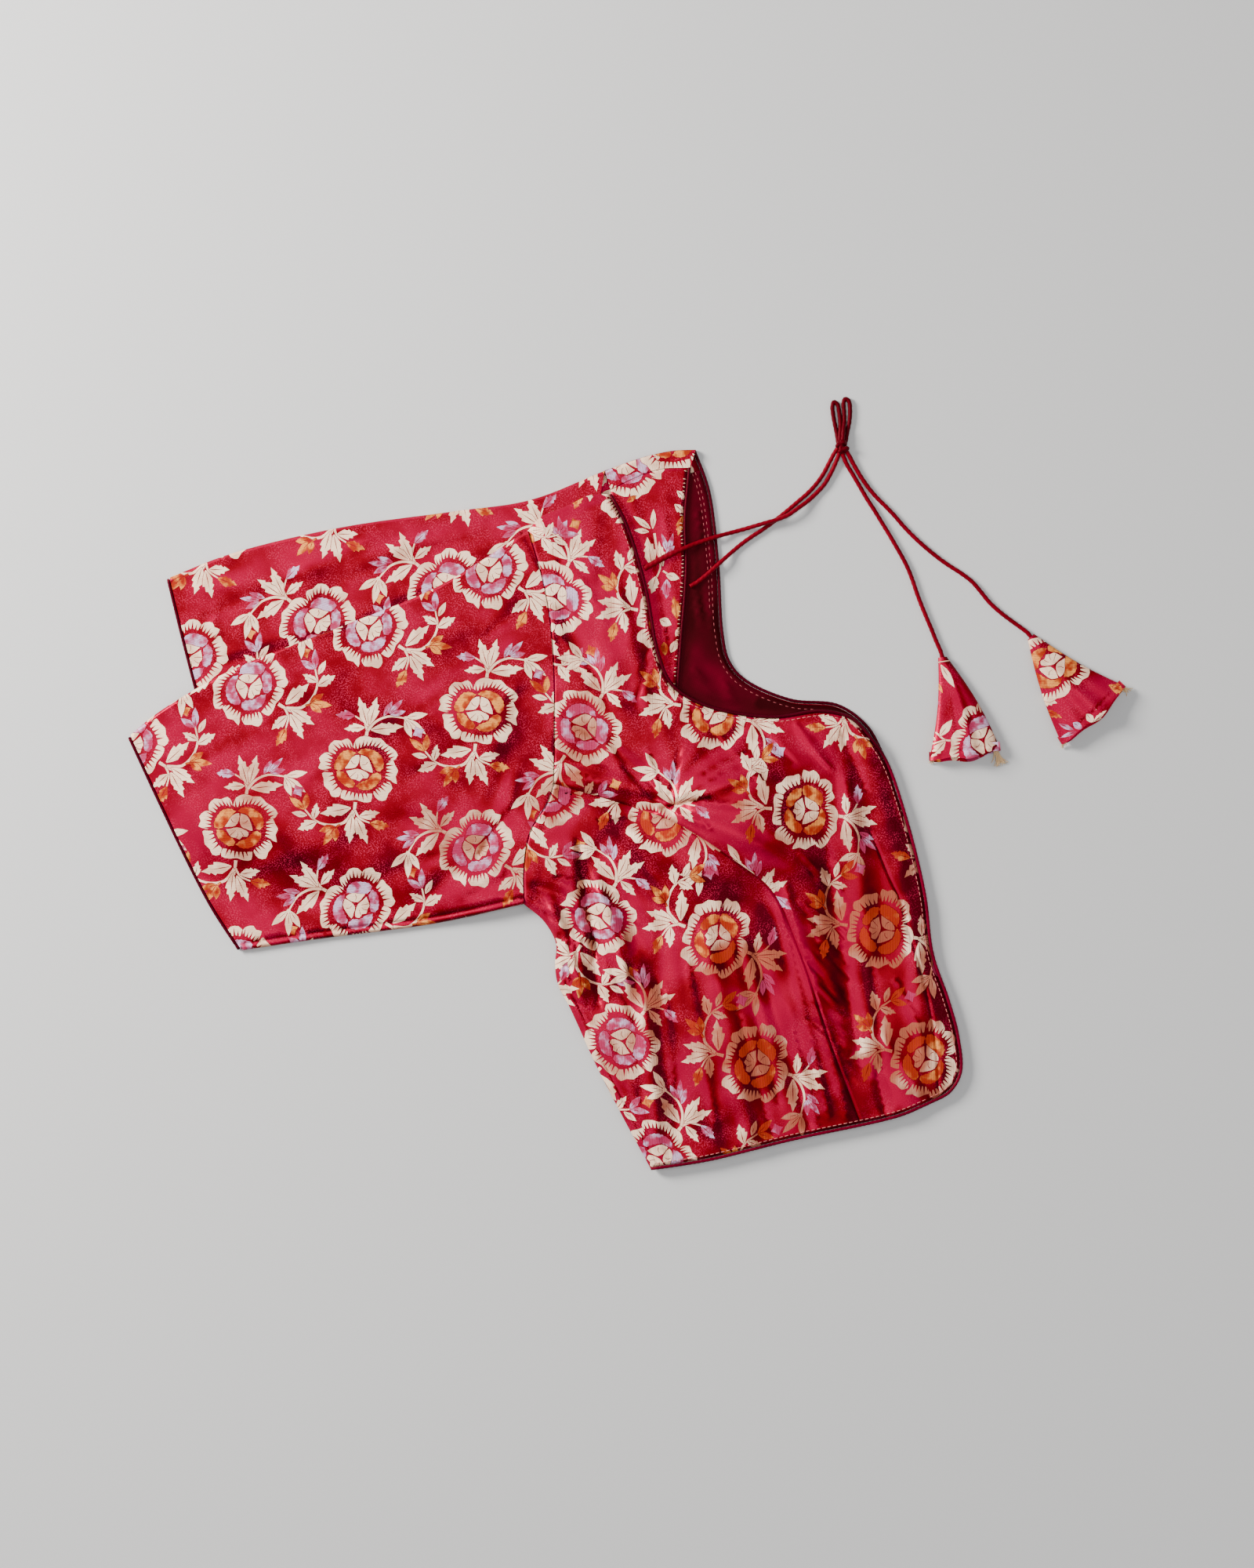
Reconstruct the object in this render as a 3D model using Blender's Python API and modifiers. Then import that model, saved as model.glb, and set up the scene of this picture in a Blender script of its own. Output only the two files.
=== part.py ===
"""A backless brocade blouse, folded in half along the centre back and laid flat, with its tie.

X runs along the hem from the side seam to the centre front, Y from the hem to the shoulder, and Z up from
the table. Both fronts are outside: the far front lies on the table and the near front is on top.
"""

import math

import bmesh
import bpy
import numpy as np

# All sizes below are in millimetres; a mesh is written in metres.
MM = 0.001

CLOTH = 1.2                 # brocade and its lining, one wall
LINING = 1.0                # lining wall where it shows alone
GAP = 0.3                   # between pieces that meet
SEAM_HALF = 0.25            # each panel stops this far from its seam line
PIPING_RADIUS = 0.8
CORD_RADIUS = 1.2
CORD_LIFT = 0.1             # a lying cord's skin above what it lies on

# Heights of the layers above the table.
SLEEVE_THICK = 3.6          # a sleeve pressed flat, two walls and the hollow between them
LINING_FLOOR = CLOTH + GAP
BACK_FLOOR = LINING_FLOOR + LINING + GAP
BACK_TOP = BACK_FLOOR + CLOTH
EDGE_TOP = 5.7              # near front at its free edges
UPPER_TOP = 7.5             # near front where it lies on the far sleeve and the far strap
LAYER_PLAY = 1.3            # hidden layers below the near front
LEAST_HIDDEN = 0.7          # hidden layers at their thinnest
STEEPEST = 1.5              # a sloping wall is measured as at most this much thicker upright
PIPE_STEP = 2 * PIPING_RADIUS + GAP
PIPE_LIFT = 0.05            # the far piping above the table
HIDDEN_FLOOR = 2 * PIPING_RADIUS + 0.2   # over the far piping

# How a layer climbs over the edge of what lies below it: start of the climb outside that edge, its length.
FRONT_CLIMB = (40, 38)
LAYERS_CLIMB = (30, 12)
SLEEVE_CLIMB = (24, 16)
UNCOVERED = (-4, 14)        # the far sleeve swells from here on, past what covers it

FOLD_CALM = 9               # folds die away over this width at the near front's edges
FOLD_AT_EDGE = 0.25         # and keep this share at the edge itself
SLEEVE_CALM = 26
TROUGH_WIDER = 1.7          # the hidden layers sink more widely than the troughs above them,
TROUGH_DEEPER = 1.4         # and more deeply,
LAYERS_FULLNESS = 0.92      # and are a little less full

# Outlines, seen from above, each as x, y from its first end to its last.
SHOULDER_NEAR = [(35, 172), (44, 178), (60, 181), (74, 184), (86, 182)]
ARMHOLE_UPPER = [(35, 172), (37, 138), (34, 103), (24, 54), (18, 29)]
ARMHOLE_LOWER = [(18, 29), (13, 20), (-1, 5), (-9, -15), (-13, -34)]
SIDE_EDGE = [
    (-13, -34), (-4, -46), (0, -60), (-3, -71), (-4, -82), (0, -98), (7, -131), (14, -158), (25, -197),
]
PRINCESS_SEAM = [
    (18, 29), (56, 8), (80, -7), (112, -39), (126, -57), (134, -95), (140, -150), (147, -199),
]
NECK_NEAR = [
    (86, 182), (91, 164), (94, 128), (93, 87), (97, 69), (113, 54), (147, 40), (176, 37), (192, 29),
    (200, 16), (206, 1),
]
FRONT_EDGE = [
    (206, 1), (210, -33), (211, -77), (208, -112), (211, -139), (212, -160), (209, -181), (200, -191),
    (186, -195),
]
HEM = [(186, -195), (168, -198), (106, -198), (57, -199), (25, -197)]
CUFF_NEAR = [(-212, 107), (-203, 66), (-188, 5), (-177, -25)]
SLEEVE_FOLD_NEAR = [(-212, 107), (-194, 116), (-147, 131), (-79, 142), (-22, 152), (35, 172)]
SLEEVE_SEAM_NEAR = [(-177, -25), (-134, -28), (-64, -34), (-13, -34)]
CUFF_FAR = [(-171, 190), (-170, 147), (-166, 55)]
SLEEVE_FOLD_FAR = [(-171, 190), (-132, 196), (-67, 197), (-3, 192), (40, 189), (85, 196)]
SLEEVE_SEAM_FAR = [(-166, 55), (-105, 28), (-47, -4), (-14, -30)]
ARMHOLE_FAR = [(85, 196), (62, 140), (24, 55), (-14, -30)]
SHOULDER_FAR = [(85, 196), (108, 198.7), (125, 198.7), (138, 196.5)]
SHOULDER_SEAM_FAR = [(86, 185), (104, 189), (116, 190), (133, 187)]
NECK_FAR = [
    (138, 196.5), (141, 172), (137, 130), (131, 92), (131, 76), (137, 64), (160, 47), (186, 38), (200, 22),
    (206, 1),
]
BACK_NECK = [(133, 187), (124, 158), (119, 132), (107, 92), (98, 62)]
BACK_HIDDEN = [(86, 185), (80, 150), (70, 105), (62, 62)]
LINING_HIDDEN = [(98, 183), (100, 120), (94, 70), (110, 38), (150, 22), (190, 2)]

# Fullness of the near front: x, y, reach along x, reach along y, height.
FULLNESS = {
    "bust": (116, -14, 46, 42, 11.0),
    "waist": (84, -112, 60, 60, 4.5),
    "shoulder": (64, 96, 26, 60, 2.0),
}
FULLNESS_EDGE = 34          # the fullness dies away over this width at the edges

# Largest folds of the near front: from x, y to x, y, half width, height (a trough is negative).
FOLDS = {
    "underarm tuck": (15, -42, 20, -62, 6.0, -2.2),
    "underarm ridge": (4, -46, 9, -84, 5.5, 2.4),
    "underarm roll": (28, -44, 36, -92, 8.0, 2.6),
    "armhole pull": (22, 8, 62, -26, 9.0, 1.6),
    "dimple": (76, 6, 84, 1, 7.0, -2.2),
    "dimple ridge": (88, 5, 112, 8, 6.0, 1.4),
    "dimple fold": (72, 14, 60, 34, 5.0, -1.2),
    "side wave": (58, -70, 48, -162, 12.0, -1.8),
    "middle wave": (88, -70, 92, -180, 11.0, 1.8),
    "seam wave": (118, -92, 122, -186, 8.0, -1.4),
    "front trough": (164, -40, 156, -152, 9.0, -1.8),
    "front wave": (184, -14, 184, -150, 9.0, 1.6),
    "hem tuck": (162, -176, 162, -196, 4.0, -1.2),
}

# Largest folds of the near sleeve, with the same columns.
SLEEVE_FOLDS = {
    "middle": (-178, 44, -30, 66, 44.0, 2.6),
    "crown wave": (-120, 118, -20, 126, 12.0, 0.8),
    "cap pull": (-8, 40, 24, 96, 10.0, -0.9),
    "elbow crease": (-60, -16, -8, 14, 9.0, -1.2),
    "underarm pull": (-30, -26, -6, 30, 7.0, 0.9),
}
FAR_SLEEVE_FOLDS = {
    "top wave": (-140, 180, -40, 178, 10.0, 0.9),
    "strip hollow": (-60, 168, 20, 174, 8.0, -0.6),
}

# Edges that roll down: outline, width of the roll, drop.
ROLLS = {
    "side": (SIDE_EDGE, 4.0, 1.5),
    "front": (FRONT_EDGE, 12.0, 1.3),
    "shoulder": (SHOULDER_NEAR, 7.0, 1.5),
}

# Edge of the hidden layers: how far it lies inside the near front's sides,
# then share of the height and distance in from the outermost layer.
LAYERS_INSIDE = {"left": 5.2, "right": 8.6, "top": 8.0, "bottom": 7.4}
RIM_REACH = 1.6
LAYERED_RIM = [(0.12, 0.2), (0.30, 0.0), (0.48, 1.4), (0.62, 0.3), (0.84, 0.1)]

# Tie cords: x, y, z of the centre line, hand placed.
TABLE_Z = CORD_RADIUS + CORD_LIFT
LINING_Z = LINING_FLOOR + LINING + TABLE_Z
STRAP_Z = BACK_TOP + TABLE_Z
OVER_Z = TABLE_Z + 2 * CORD_RADIUS + 0.2
DORI_NEAR = [
    (94.9, 136.8, STRAP_Z), (101, 138.6, STRAP_Z), (108, 140.6, STRAP_Z + 0.1), (115, 142.2, STRAP_Z + 0.4),
    (121, 143.4, STRAP_Z + 0.2), (127, 144.4, LINING_Z + 0.6), (134, 145.2, LINING_Z + 0.2),
    (141, 145.8, 3.3), (148, 146.2, TABLE_Z + 0.3), (155, 146.5, TABLE_Z + 0.5), (162, 146.9, 3.0),
    (169, 147.3, OVER_Z), (175, 147.7, OVER_Z), (181, 148.8, OVER_Z), (187, 151.2, OVER_Z - 0.4),
    (193, 153.8, 2.2), (199, 157.2, TABLE_Z), (205, 161.4, TABLE_Z), (209.5, 166.2, TABLE_Z),
    (213.4, 171.2, TABLE_Z + 0.4), (216.3, 175.6, TABLE_Z + 0.9),
]
DORI_FAR = [
    (118.0, 121.4, LINING_Z), (122, 122.6, LINING_Z), (128, 125.4, LINING_Z), (134, 128.8, LINING_Z + 0.1),
    (140, 132.2, 3.3), (146, 135.6, TABLE_Z + 0.2), (152, 138.7, TABLE_Z), (158, 141.3, TABLE_Z),
    (164, 143.5, TABLE_Z), (170, 146.0, TABLE_Z), (176, 148.8, TABLE_Z), (182, 151.8, TABLE_Z),
    (188, 155.0, TABLE_Z), (194, 158.2, TABLE_Z), (200, 162.2, TABLE_Z), (205.4, 167.0, TABLE_Z),
    (210.2, 172.6, TABLE_Z + 0.4), (214.5, 177.6, TABLE_Z + 0.9),
]
TAIL_LEFT = [
    (219, 174.9, TABLE_Z + 0.9), (220.2, 169, TABLE_Z + 0.2), (222.2, 163, TABLE_Z),
    (224.6, 155.5, TABLE_Z), (227, 148, TABLE_Z), (229.6, 141, TABLE_Z), (232, 134, TABLE_Z),
    (234.6, 126.5, TABLE_Z), (237, 119, TABLE_Z), (239.2, 112, TABLE_Z), (241, 105, TABLE_Z),
    (242.2, 97.5, TABLE_Z), (243, 90, TABLE_Z), (244, 83, TABLE_Z), (245.2, 76, TABLE_Z),
    (246.6, 68.5, TABLE_Z), (247.8, 61, TABLE_Z + 0.1), (249.0, 54.6, TABLE_Z + 0.4), (249.2, 51.6, TABLE_Z + 0.5),
]
TAIL_RIGHT = [
    (221.8, 175.7, TABLE_Z + 0.9), (223.8, 169, TABLE_Z + 0.2), (226.4, 161, TABLE_Z),
    (229, 154.6, TABLE_Z), (232, 148.6, TABLE_Z), (236.8, 141, TABLE_Z), (240.4, 135, TABLE_Z),
    (243.6, 129, TABLE_Z), (247.6, 122.4, TABLE_Z), (252, 116, TABLE_Z), (259, 107, TABLE_Z),
    (264, 101.4, TABLE_Z), (269.6, 95.8, TABLE_Z), (275, 89.4, TABLE_Z), (278.6, 82.8, TABLE_Z),
    (282, 76, TABLE_Z), (286.4, 69.6, TABLE_Z), (291.2, 63.8, TABLE_Z), (296, 58.4, TABLE_Z + 0.1),
    (299.2, 54.6, TABLE_Z + 0.4), (300.55, 52.1, TABLE_Z + 0.5),
]
BOW_LOOP_LEFT = [
    (216.2, 184.2, TABLE_Z + 0.6), (216.5, 188, TABLE_Z), (217.2, 195, TABLE_Z), (217.9, 200.5, TABLE_Z),
    (218.6, 204.2, TABLE_Z), (220.2, 206.0, TABLE_Z), (221.8, 204.2, TABLE_Z), (221.6, 200, TABLE_Z),
    (220.7, 194, TABLE_Z), (219.4, 189, TABLE_Z), (218.8, 185.3, TABLE_Z + 0.6),
]
BOW_LOOP_RIGHT = [
    (221.6, 184.6, TABLE_Z + 0.6), (222.4, 188.6, TABLE_Z), (223.9, 195, TABLE_Z), (225.0, 200, TABLE_Z),
    (226.0, 204.6, TABLE_Z), (227.8, 206.4, TABLE_Z), (229.4, 204.6, TABLE_Z), (228.8, 199.6, TABLE_Z),
    (227.2, 193, TABLE_Z), (225.4, 187.6, TABLE_Z), (223.6, 183.3, TABLE_Z + 0.6),
]
KNOT_CENTRE = (219.0, 180.0)
KNOT_REACH = (4.3, 4.5, 2.8)
CORD_STEP = 5.5             # distance between a cord's points
LOOP_STEP = 1.4

# Tassels: point x, y, then the two ends of the mouth x, y, then how far the mouth bows out.
TASSELS = {
    "tassel_left": (249.2, 51.2, 229.0, -4.5, 270.0, -7.5, 2.0),
    "tassel_right": (300.8, 51.6, 304.5, -12.0, 347.0, 12.5, 4.5),
}
TASSEL_TIP = 2.4            # half width of the cone where the cord goes in
TASSEL_TIP_HEIGHT = 3.8
TASSEL_MOUTH_HEIGHT = 8.5
TASSEL_FLARE = 1.08         # above 1 the sides curve outward to the mouth
TASSEL_SWELL = 0.8          # below 1 the cone gains its height early

# Number of rows and columns in each piece.
UPPER_ROWS = 13
LOWER_ROWS = 6
PRINCESS_ROWS = 23
PANEL_COLUMNS = 11
SLEEVE_ROWS = 13
FAR_ROWS = 32
FAR_ARMHOLE_ROWS = 12
FAR_COLUMNS = 8
LINING_ROWS = 16
STRAP_ROWS = 14
LAYER_ROWS = 26
LAYER_COLUMNS = 11
OUTLINE_POINTS = 16         # on each line of an outline that heights are measured from
TASSEL_ROWS = 8
TASSEL_AROUND = 18

COLOURS = {
    # name: red, green, blue, roughness
    "brocade": (0.72, 0.01, 0.06, 0.42),
    "lining": (0.10, 0.004, 0.02, 0.60),
    "piping": (0.13, 0.004, 0.02, 0.55),
    "cord": (0.17, 0.006, 0.01, 0.70),
}


def clear_scene():
    for item in list(bpy.data.objects):
        bpy.data.objects.remove(item, do_unlink=True)


def material(name):
    found = bpy.data.materials.get(name)
    if found:
        return found
    red, green, blue, roughness = COLOURS[name]
    made = bpy.data.materials.new(name)
    made.use_nodes = True
    shader = made.node_tree.nodes["Principled BSDF"]
    shader.inputs["Base Color"].default_value = (red, green, blue, 1)
    shader.inputs["Roughness"].default_value = roughness
    shader.inputs["Metallic"].default_value = 0.0
    return made


def smooth_line(points, samples_each=24):
    """A fine line on a centripetal spline through the points."""
    given = np.array(points, float)
    first = 2 * given[0] - given[1]
    last = 2 * given[-1] - given[-2]
    knots = np.vstack([first, given, last])
    fine = []
    for a, b, c, d in zip(knots, knots[1:], knots[2:], knots[3:]):
        t0 = 0.0
        t1 = t0 + math.sqrt(np.linalg.norm(b - a))
        t2 = t1 + math.sqrt(np.linalg.norm(c - b))
        t3 = t2 + math.sqrt(np.linalg.norm(d - c))
        t = np.linspace(t1, t2, samples_each, endpoint=False)[:, None]
        a1 = (t1 - t) / (t1 - t0) * a + (t - t0) / (t1 - t0) * b
        a2 = (t2 - t) / (t2 - t1) * b + (t - t1) / (t2 - t1) * c
        a3 = (t3 - t) / (t3 - t2) * c + (t - t2) / (t3 - t2) * d
        b1 = (t2 - t) / (t2 - t0) * a1 + (t - t0) / (t2 - t0) * a2
        b2 = (t3 - t) / (t3 - t1) * a2 + (t - t1) / (t3 - t1) * a3
        fine.append((t2 - t) / (t2 - t1) * b1 + (t - t1) / (t2 - t1) * b2)
    fine.append(given[-1:])
    return np.vstack(fine)


def at_shares(line, shares):
    """Points at these shares of a line's length."""
    steps = np.linalg.norm(np.diff(line, axis=0), axis=1)
    run = np.concatenate([[0.0], np.cumsum(steps)])
    wanted = np.asarray(shares) * run[-1]
    return np.stack([np.interp(wanted, run, line[:, k]) for k in range(line.shape[1])], axis=1)


def even(points, count):
    return at_shares(smooth_line(points), np.linspace(0, 1, count))


def by_step(points, step):
    line = smooth_line(points)
    length = np.linalg.norm(np.diff(line, axis=0), axis=1).sum()
    return at_shares(line, np.linspace(0, 1, max(3, round(length / step) + 1)))


def close_to_ends(count, pull=0.72):
    """Shares from 0 to 1 that lie closer together near both ends."""
    t = np.linspace(0, 1, count)
    return t - pull * np.sin(2 * math.pi * t) / (2 * math.pi)


def moved_in(line, distance):
    """A flat line moved to its right-hand side, walking from first point to last."""
    ahead = np.gradient(line, axis=0)
    ahead /= np.linalg.norm(ahead, axis=1)[:, None]
    right = np.stack([ahead[:, 1], -ahead[:, 0]], axis=1)
    return line + right * distance


def patch(left, right, top, bottom, shares):
    """Rows of points that fill four edges, from the top row to the bottom row."""
    top, bottom = top.copy(), bottom.copy()
    top[0], top[-1] = left[0], right[0]
    bottom[0], bottom[-1] = left[-1], right[-1]
    u = shares[None, :, None]
    v = np.linspace(0, 1, len(left))[:, None, None]
    sides = (1 - u) * left[:, None] + u * right[:, None]
    ends = (1 - v) * top[None] + v * bottom[None]
    first = (1 - u) * top[0] + u * top[-1]
    last = (1 - u) * bottom[0] + u * bottom[-1]
    return sides + ends - (1 - v) * first - v * last


def drawn_in(grid, left=0.0, right=0.0, top=0.0, bottom=0.0):
    """The same patch with its four sides moved in by these distances."""
    for before, after in ((left, right), (top, bottom)):
        shrunk = np.empty_like(grid)
        for i, row in enumerate(grid):
            length = np.linalg.norm(np.diff(row, axis=0), axis=1).sum()
            steps = np.linalg.norm(np.diff(row, axis=0), axis=1)
            shares = np.concatenate([[0.0], np.cumsum(steps)]) / max(length, 1e-6)
            start = min(before / max(length, 1e-6), 0.4)
            end = 1 - min(after / max(length, 1e-6), 0.4)
            shrunk[i] = at_shares(row, start + shares * (end - start)) if length > 1e-6 else row
        grid = shrunk.transpose(1, 0, 2)
    return grid


def edge_distance(points, outline, closed=True):
    """Distance from each point to an outline; inside a closed one it is positive, outside negative."""
    flat = points[..., :2].reshape(-1, 2)
    starts = outline
    ends = np.roll(outline, -1, axis=0) if closed else outline[1:]
    starts = starts if closed else outline[:-1]
    nearest = np.full(len(flat), 1e9)
    crossed = np.zeros(len(flat), bool)
    for a, b in zip(starts, ends):
        along = b - a
        share = np.clip(((flat - a) @ along) / max(along @ along, 1e-9), 0, 1)
        gap = np.linalg.norm(flat - a - share[:, None] * along, axis=1)
        nearest = np.minimum(nearest, gap)
        if closed and a[1] != b[1]:
            spans = (a[1] > flat[:, 1]) != (b[1] > flat[:, 1])
            reach = a[0] + (flat[:, 1] - a[1]) * along[0] / along[1]
            crossed ^= spans & (flat[:, 0] < reach)
    if closed:
        nearest = np.where(crossed, nearest, -nearest)
    return nearest.reshape(points.shape[:-1])


def ramp(value):
    t = np.clip(value, 0, 1)
    return t * t * (3 - 2 * t)


def raised(points, folds, widen=1.0):
    """Height of a table of folds, each tapering to nothing past its two ends."""
    flat = points[..., :2]
    total = np.zeros(points.shape[:-1])
    for x0, y0, x1, y1, width, height in folds.values():
        start = np.array([x0, y0], float)
        along = np.array([x1, y1], float) - start
        share = np.clip((flat - start) @ along / (along @ along), 0, 1)
        away = np.linalg.norm(flat - start - share[..., None] * along, axis=-1)
        total += height * np.exp(-((away / width / widen) ** 2))
    return total


def ring_of(*lines):
    """One closed outline from lines that follow each other."""
    return np.vstack([line[:-1] for line in lines])


near_outline = ring_of(
    even(SHOULDER_NEAR, OUTLINE_POINTS),
    even(NECK_NEAR, OUTLINE_POINTS),
    even(FRONT_EDGE, OUTLINE_POINTS),
    even(HEM, OUTLINE_POINTS),
    even(SIDE_EDGE, OUTLINE_POINTS)[::-1],
    even(ARMHOLE_LOWER, OUTLINE_POINTS)[::-1],
    even(ARMHOLE_UPPER, OUTLINE_POINTS)[::-1],
)
far_sleeve_outline = ring_of(
    even(SLEEVE_FOLD_FAR, OUTLINE_POINTS),
    even(ARMHOLE_FAR, OUTLINE_POINTS),
    even(SLEEVE_SEAM_FAR, OUTLINE_POINTS)[::-1],
    even(CUFF_FAR, OUTLINE_POINTS)[::-1],
)
near_sleeve_outline = ring_of(
    even(SLEEVE_FOLD_NEAR, OUTLINE_POINTS),
    even(ARMHOLE_UPPER, OUTLINE_POINTS),
    even(ARMHOLE_LOWER, OUTLINE_POINTS),
    even(SLEEVE_SEAM_NEAR, OUTLINE_POINTS)[::-1],
    even(CUFF_NEAR, OUTLINE_POINTS)[::-1],
)
strap_outline = ring_of(
    even(SHOULDER_SEAM_FAR, OUTLINE_POINTS),
    even(BACK_NECK, OUTLINE_POINTS),
    np.array([BACK_NECK[-1], BACK_HIDDEN[-1]], float),
    even(BACK_HIDDEN, OUTLINE_POINTS)[::-1],
)
lining_outline = ring_of(
    even(NECK_FAR, OUTLINE_POINTS),
    np.array([NECK_FAR[-1], LINING_HIDDEN[-1]], float),
    even(LINING_HIDDEN, OUTLINE_POINTS)[::-1],
    np.array([LINING_HIDDEN[0], NECK_FAR[0]], float),
)


def climbed(points, outline, climb):
    """Share from 0 to 1 of the step up onto a layer with this outline."""
    start, length = climb
    return ramp((edge_distance(points, outline) + start) / length)


def front_edge_height(points):
    """Top of the near front with no fullness: higher where the far sleeve and strap lie below it."""
    below = np.maximum(
        climbed(points, far_sleeve_outline, FRONT_CLIMB),
        climbed(points, strap_outline, FRONT_CLIMB),
    )
    height = EDGE_TOP + (UPPER_TOP - EDGE_TOP) * below
    for outline, width, drop in ROLLS.values():
        away = edge_distance(points, even(outline, OUTLINE_POINTS), closed=False)
        height -= drop * (1 - ramp(away / width))
    return height


def front_fullness(points):
    inside = ramp(edge_distance(points, near_outline) / FULLNESS_EDGE)
    total = np.zeros(points.shape[:-1])
    for x, y, reach_x, reach_y, height in FULLNESS.values():
        away = ((points[..., 0] - x) / reach_x) ** 2 + ((points[..., 1] - y) / reach_y) ** 2
        total += height * np.exp(-away)
    return total * inside


def front_height(points):
    """Top of the near front's cloth."""
    calm = ramp(edge_distance(points, near_outline) / FOLD_CALM)
    folds = raised(points, FOLDS) * (FOLD_AT_EDGE + (1 - FOLD_AT_EDGE) * calm)
    return front_edge_height(points) + front_fullness(points) + folds


def hidden_top(points):
    """Top of the hidden layers, clear of the near front and its folds."""
    troughs = {name: fold for name, fold in FOLDS.items() if fold[-1] < 0}
    folds = raised(points, troughs, TROUGH_WIDER) * TROUGH_DEEPER
    fullness = front_fullness(points) * LAYERS_FULLNESS
    return front_edge_height(points) + fullness + folds - CLOTH - LAYER_PLAY


def hidden_floor(points):
    """Underside of the hidden layers: on the far front, its lining, the far sleeve and the far strap."""
    floor = np.full(points.shape[:-1], HIDDEN_FLOOR)
    lying = (
        (far_sleeve_outline, SLEEVE_THICK + GAP),
        (strap_outline, BACK_TOP + GAP),
        (lining_outline, LINING_FLOOR + LINING + GAP),
    )
    for outline, top in lying:
        cover = climbed(points, outline, LAYERS_CLIMB)
        floor = np.maximum(floor, HIDDEN_FLOOR + (top - HIDDEN_FLOOR) * cover)
    return floor


def with_height(points, height):
    return np.concatenate([points[..., :2], np.asarray(height)[..., None]], axis=-1)


def loft(name, rows, finish, around=False):
    """A mesh object through rows of points, each row joined to the next one."""
    count, across = rows.shape[:2]
    shape = bmesh.new()
    verts = [shape.verts.new(point * MM) for point in rows.reshape(-1, 3)]
    last = across if around else across - 1
    for i in range(count - 1):
        for j in range(last):
            k = (j + 1) % across
            corners = (i * across + j, (i + 1) * across + j, (i + 1) * across + k, i * across + k)
            shape.faces.new([verts[c] for c in corners])
    bmesh.ops.remove_doubles(shape, verts=shape.verts, dist=1e-6)
    return finished(name, shape, finish)


def between(name, upper, lower, finish, rim=(), reach=0.0):
    """A closed solid between an upper and a lower patch; the rim may step in and out on the way down."""
    count, across = upper.shape[:2]
    border = [(0, j) for j in range(across)]
    border += [(i, across - 1) for i in range(1, count)]
    border += [(count - 1, j) for j in range(across - 2, -1, -1)]
    border += [(i, 0) for i in range(count - 2, 0, -1)]
    high = np.array([upper[i, j] for i, j in border])
    low = np.array([lower[i, j] for i, j in border])
    ahead = np.roll(high[:, :2], -1, axis=0) - np.roll(high[:, :2], 1, axis=0)
    ahead /= np.linalg.norm(ahead, axis=1)[:, None]
    outward = np.stack([-ahead[:, 1], ahead[:, 0]], axis=1)

    shape = bmesh.new()
    top_verts = [[shape.verts.new(p * MM) for p in row] for row in upper]
    low_verts = [[shape.verts.new(p * MM) for p in row] for row in lower]
    for i in range(count - 1):
        for j in range(across - 1):
            for verts, order in ((top_verts, 1), (low_verts, -1)):
                face = [verts[i][j], verts[i + 1][j], verts[i + 1][j + 1], verts[i][j + 1]]
                shape.faces.new(face[::order])
    loops = [[low_verts[i][j] for i, j in border]]
    for share, inset in rim:
        ring = low + (high - low) * share
        ring[:, :2] += outward * (reach - inset)
        loops.append([shape.verts.new(p * MM) for p in ring])
    loops.append([top_verts[i][j] for i, j in border])
    for below, above in zip(loops, loops[1:]):
        for k in range(len(border)):
            m = (k + 1) % len(border)
            shape.faces.new((below[k], above[k], above[m], below[m]))
    bmesh.ops.recalc_face_normals(shape, faces=shape.faces)
    return finished(name, shape, finish)


def sheet(name, upper, thickness, finish):
    """A cloth wall under a patch, as thick on its slopes as on the flat."""
    normal = np.cross(np.gradient(upper, axis=0), np.gradient(upper, axis=1))
    lean = np.abs(normal[..., 2]) / np.maximum(np.linalg.norm(normal, axis=-1), 1e-9)
    lower = upper.copy()
    lower[..., 2] -= thickness / np.maximum(lean, 1 / STEEPEST)
    return between(name, upper, lower, finish)


def finished(name, shape, finish):
    mesh = bpy.data.meshes.new(name)
    shape.to_mesh(mesh)
    shape.free()
    mesh.shade_smooth()
    made = bpy.data.objects.new(name, mesh)
    made.data.materials.append(material(finish))
    blouse.objects.link(made)
    return made


def walled(made, thickness):
    """Cloth wall on the inner side of a sheet, its rim closed."""
    wall = made.modifiers.new("wall", "SOLIDIFY")
    wall.thickness = thickness * MM
    wall.offset = -1
    wall.use_rim = True
    return made


def tube(name, points, radius, finish, closed=False):
    """A cord or piping along a line of points."""
    curve = bpy.data.curves.new(name, "CURVE")
    curve.dimensions = "3D"
    curve.bevel_depth = radius * MM
    curve.bevel_resolution = 2
    curve.use_fill_caps = not closed
    spline = curve.splines.new("POLY")
    spline.points.add(len(points) - 1)
    for target, point in zip(spline.points, points):
        target.co = (*(point * MM), 1)
    spline.use_cyclic_u = closed
    spline.use_smooth = True
    made = bpy.data.objects.new(name, curve)
    curve.materials.append(material(finish))
    blouse.objects.link(made)
    return made


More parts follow.
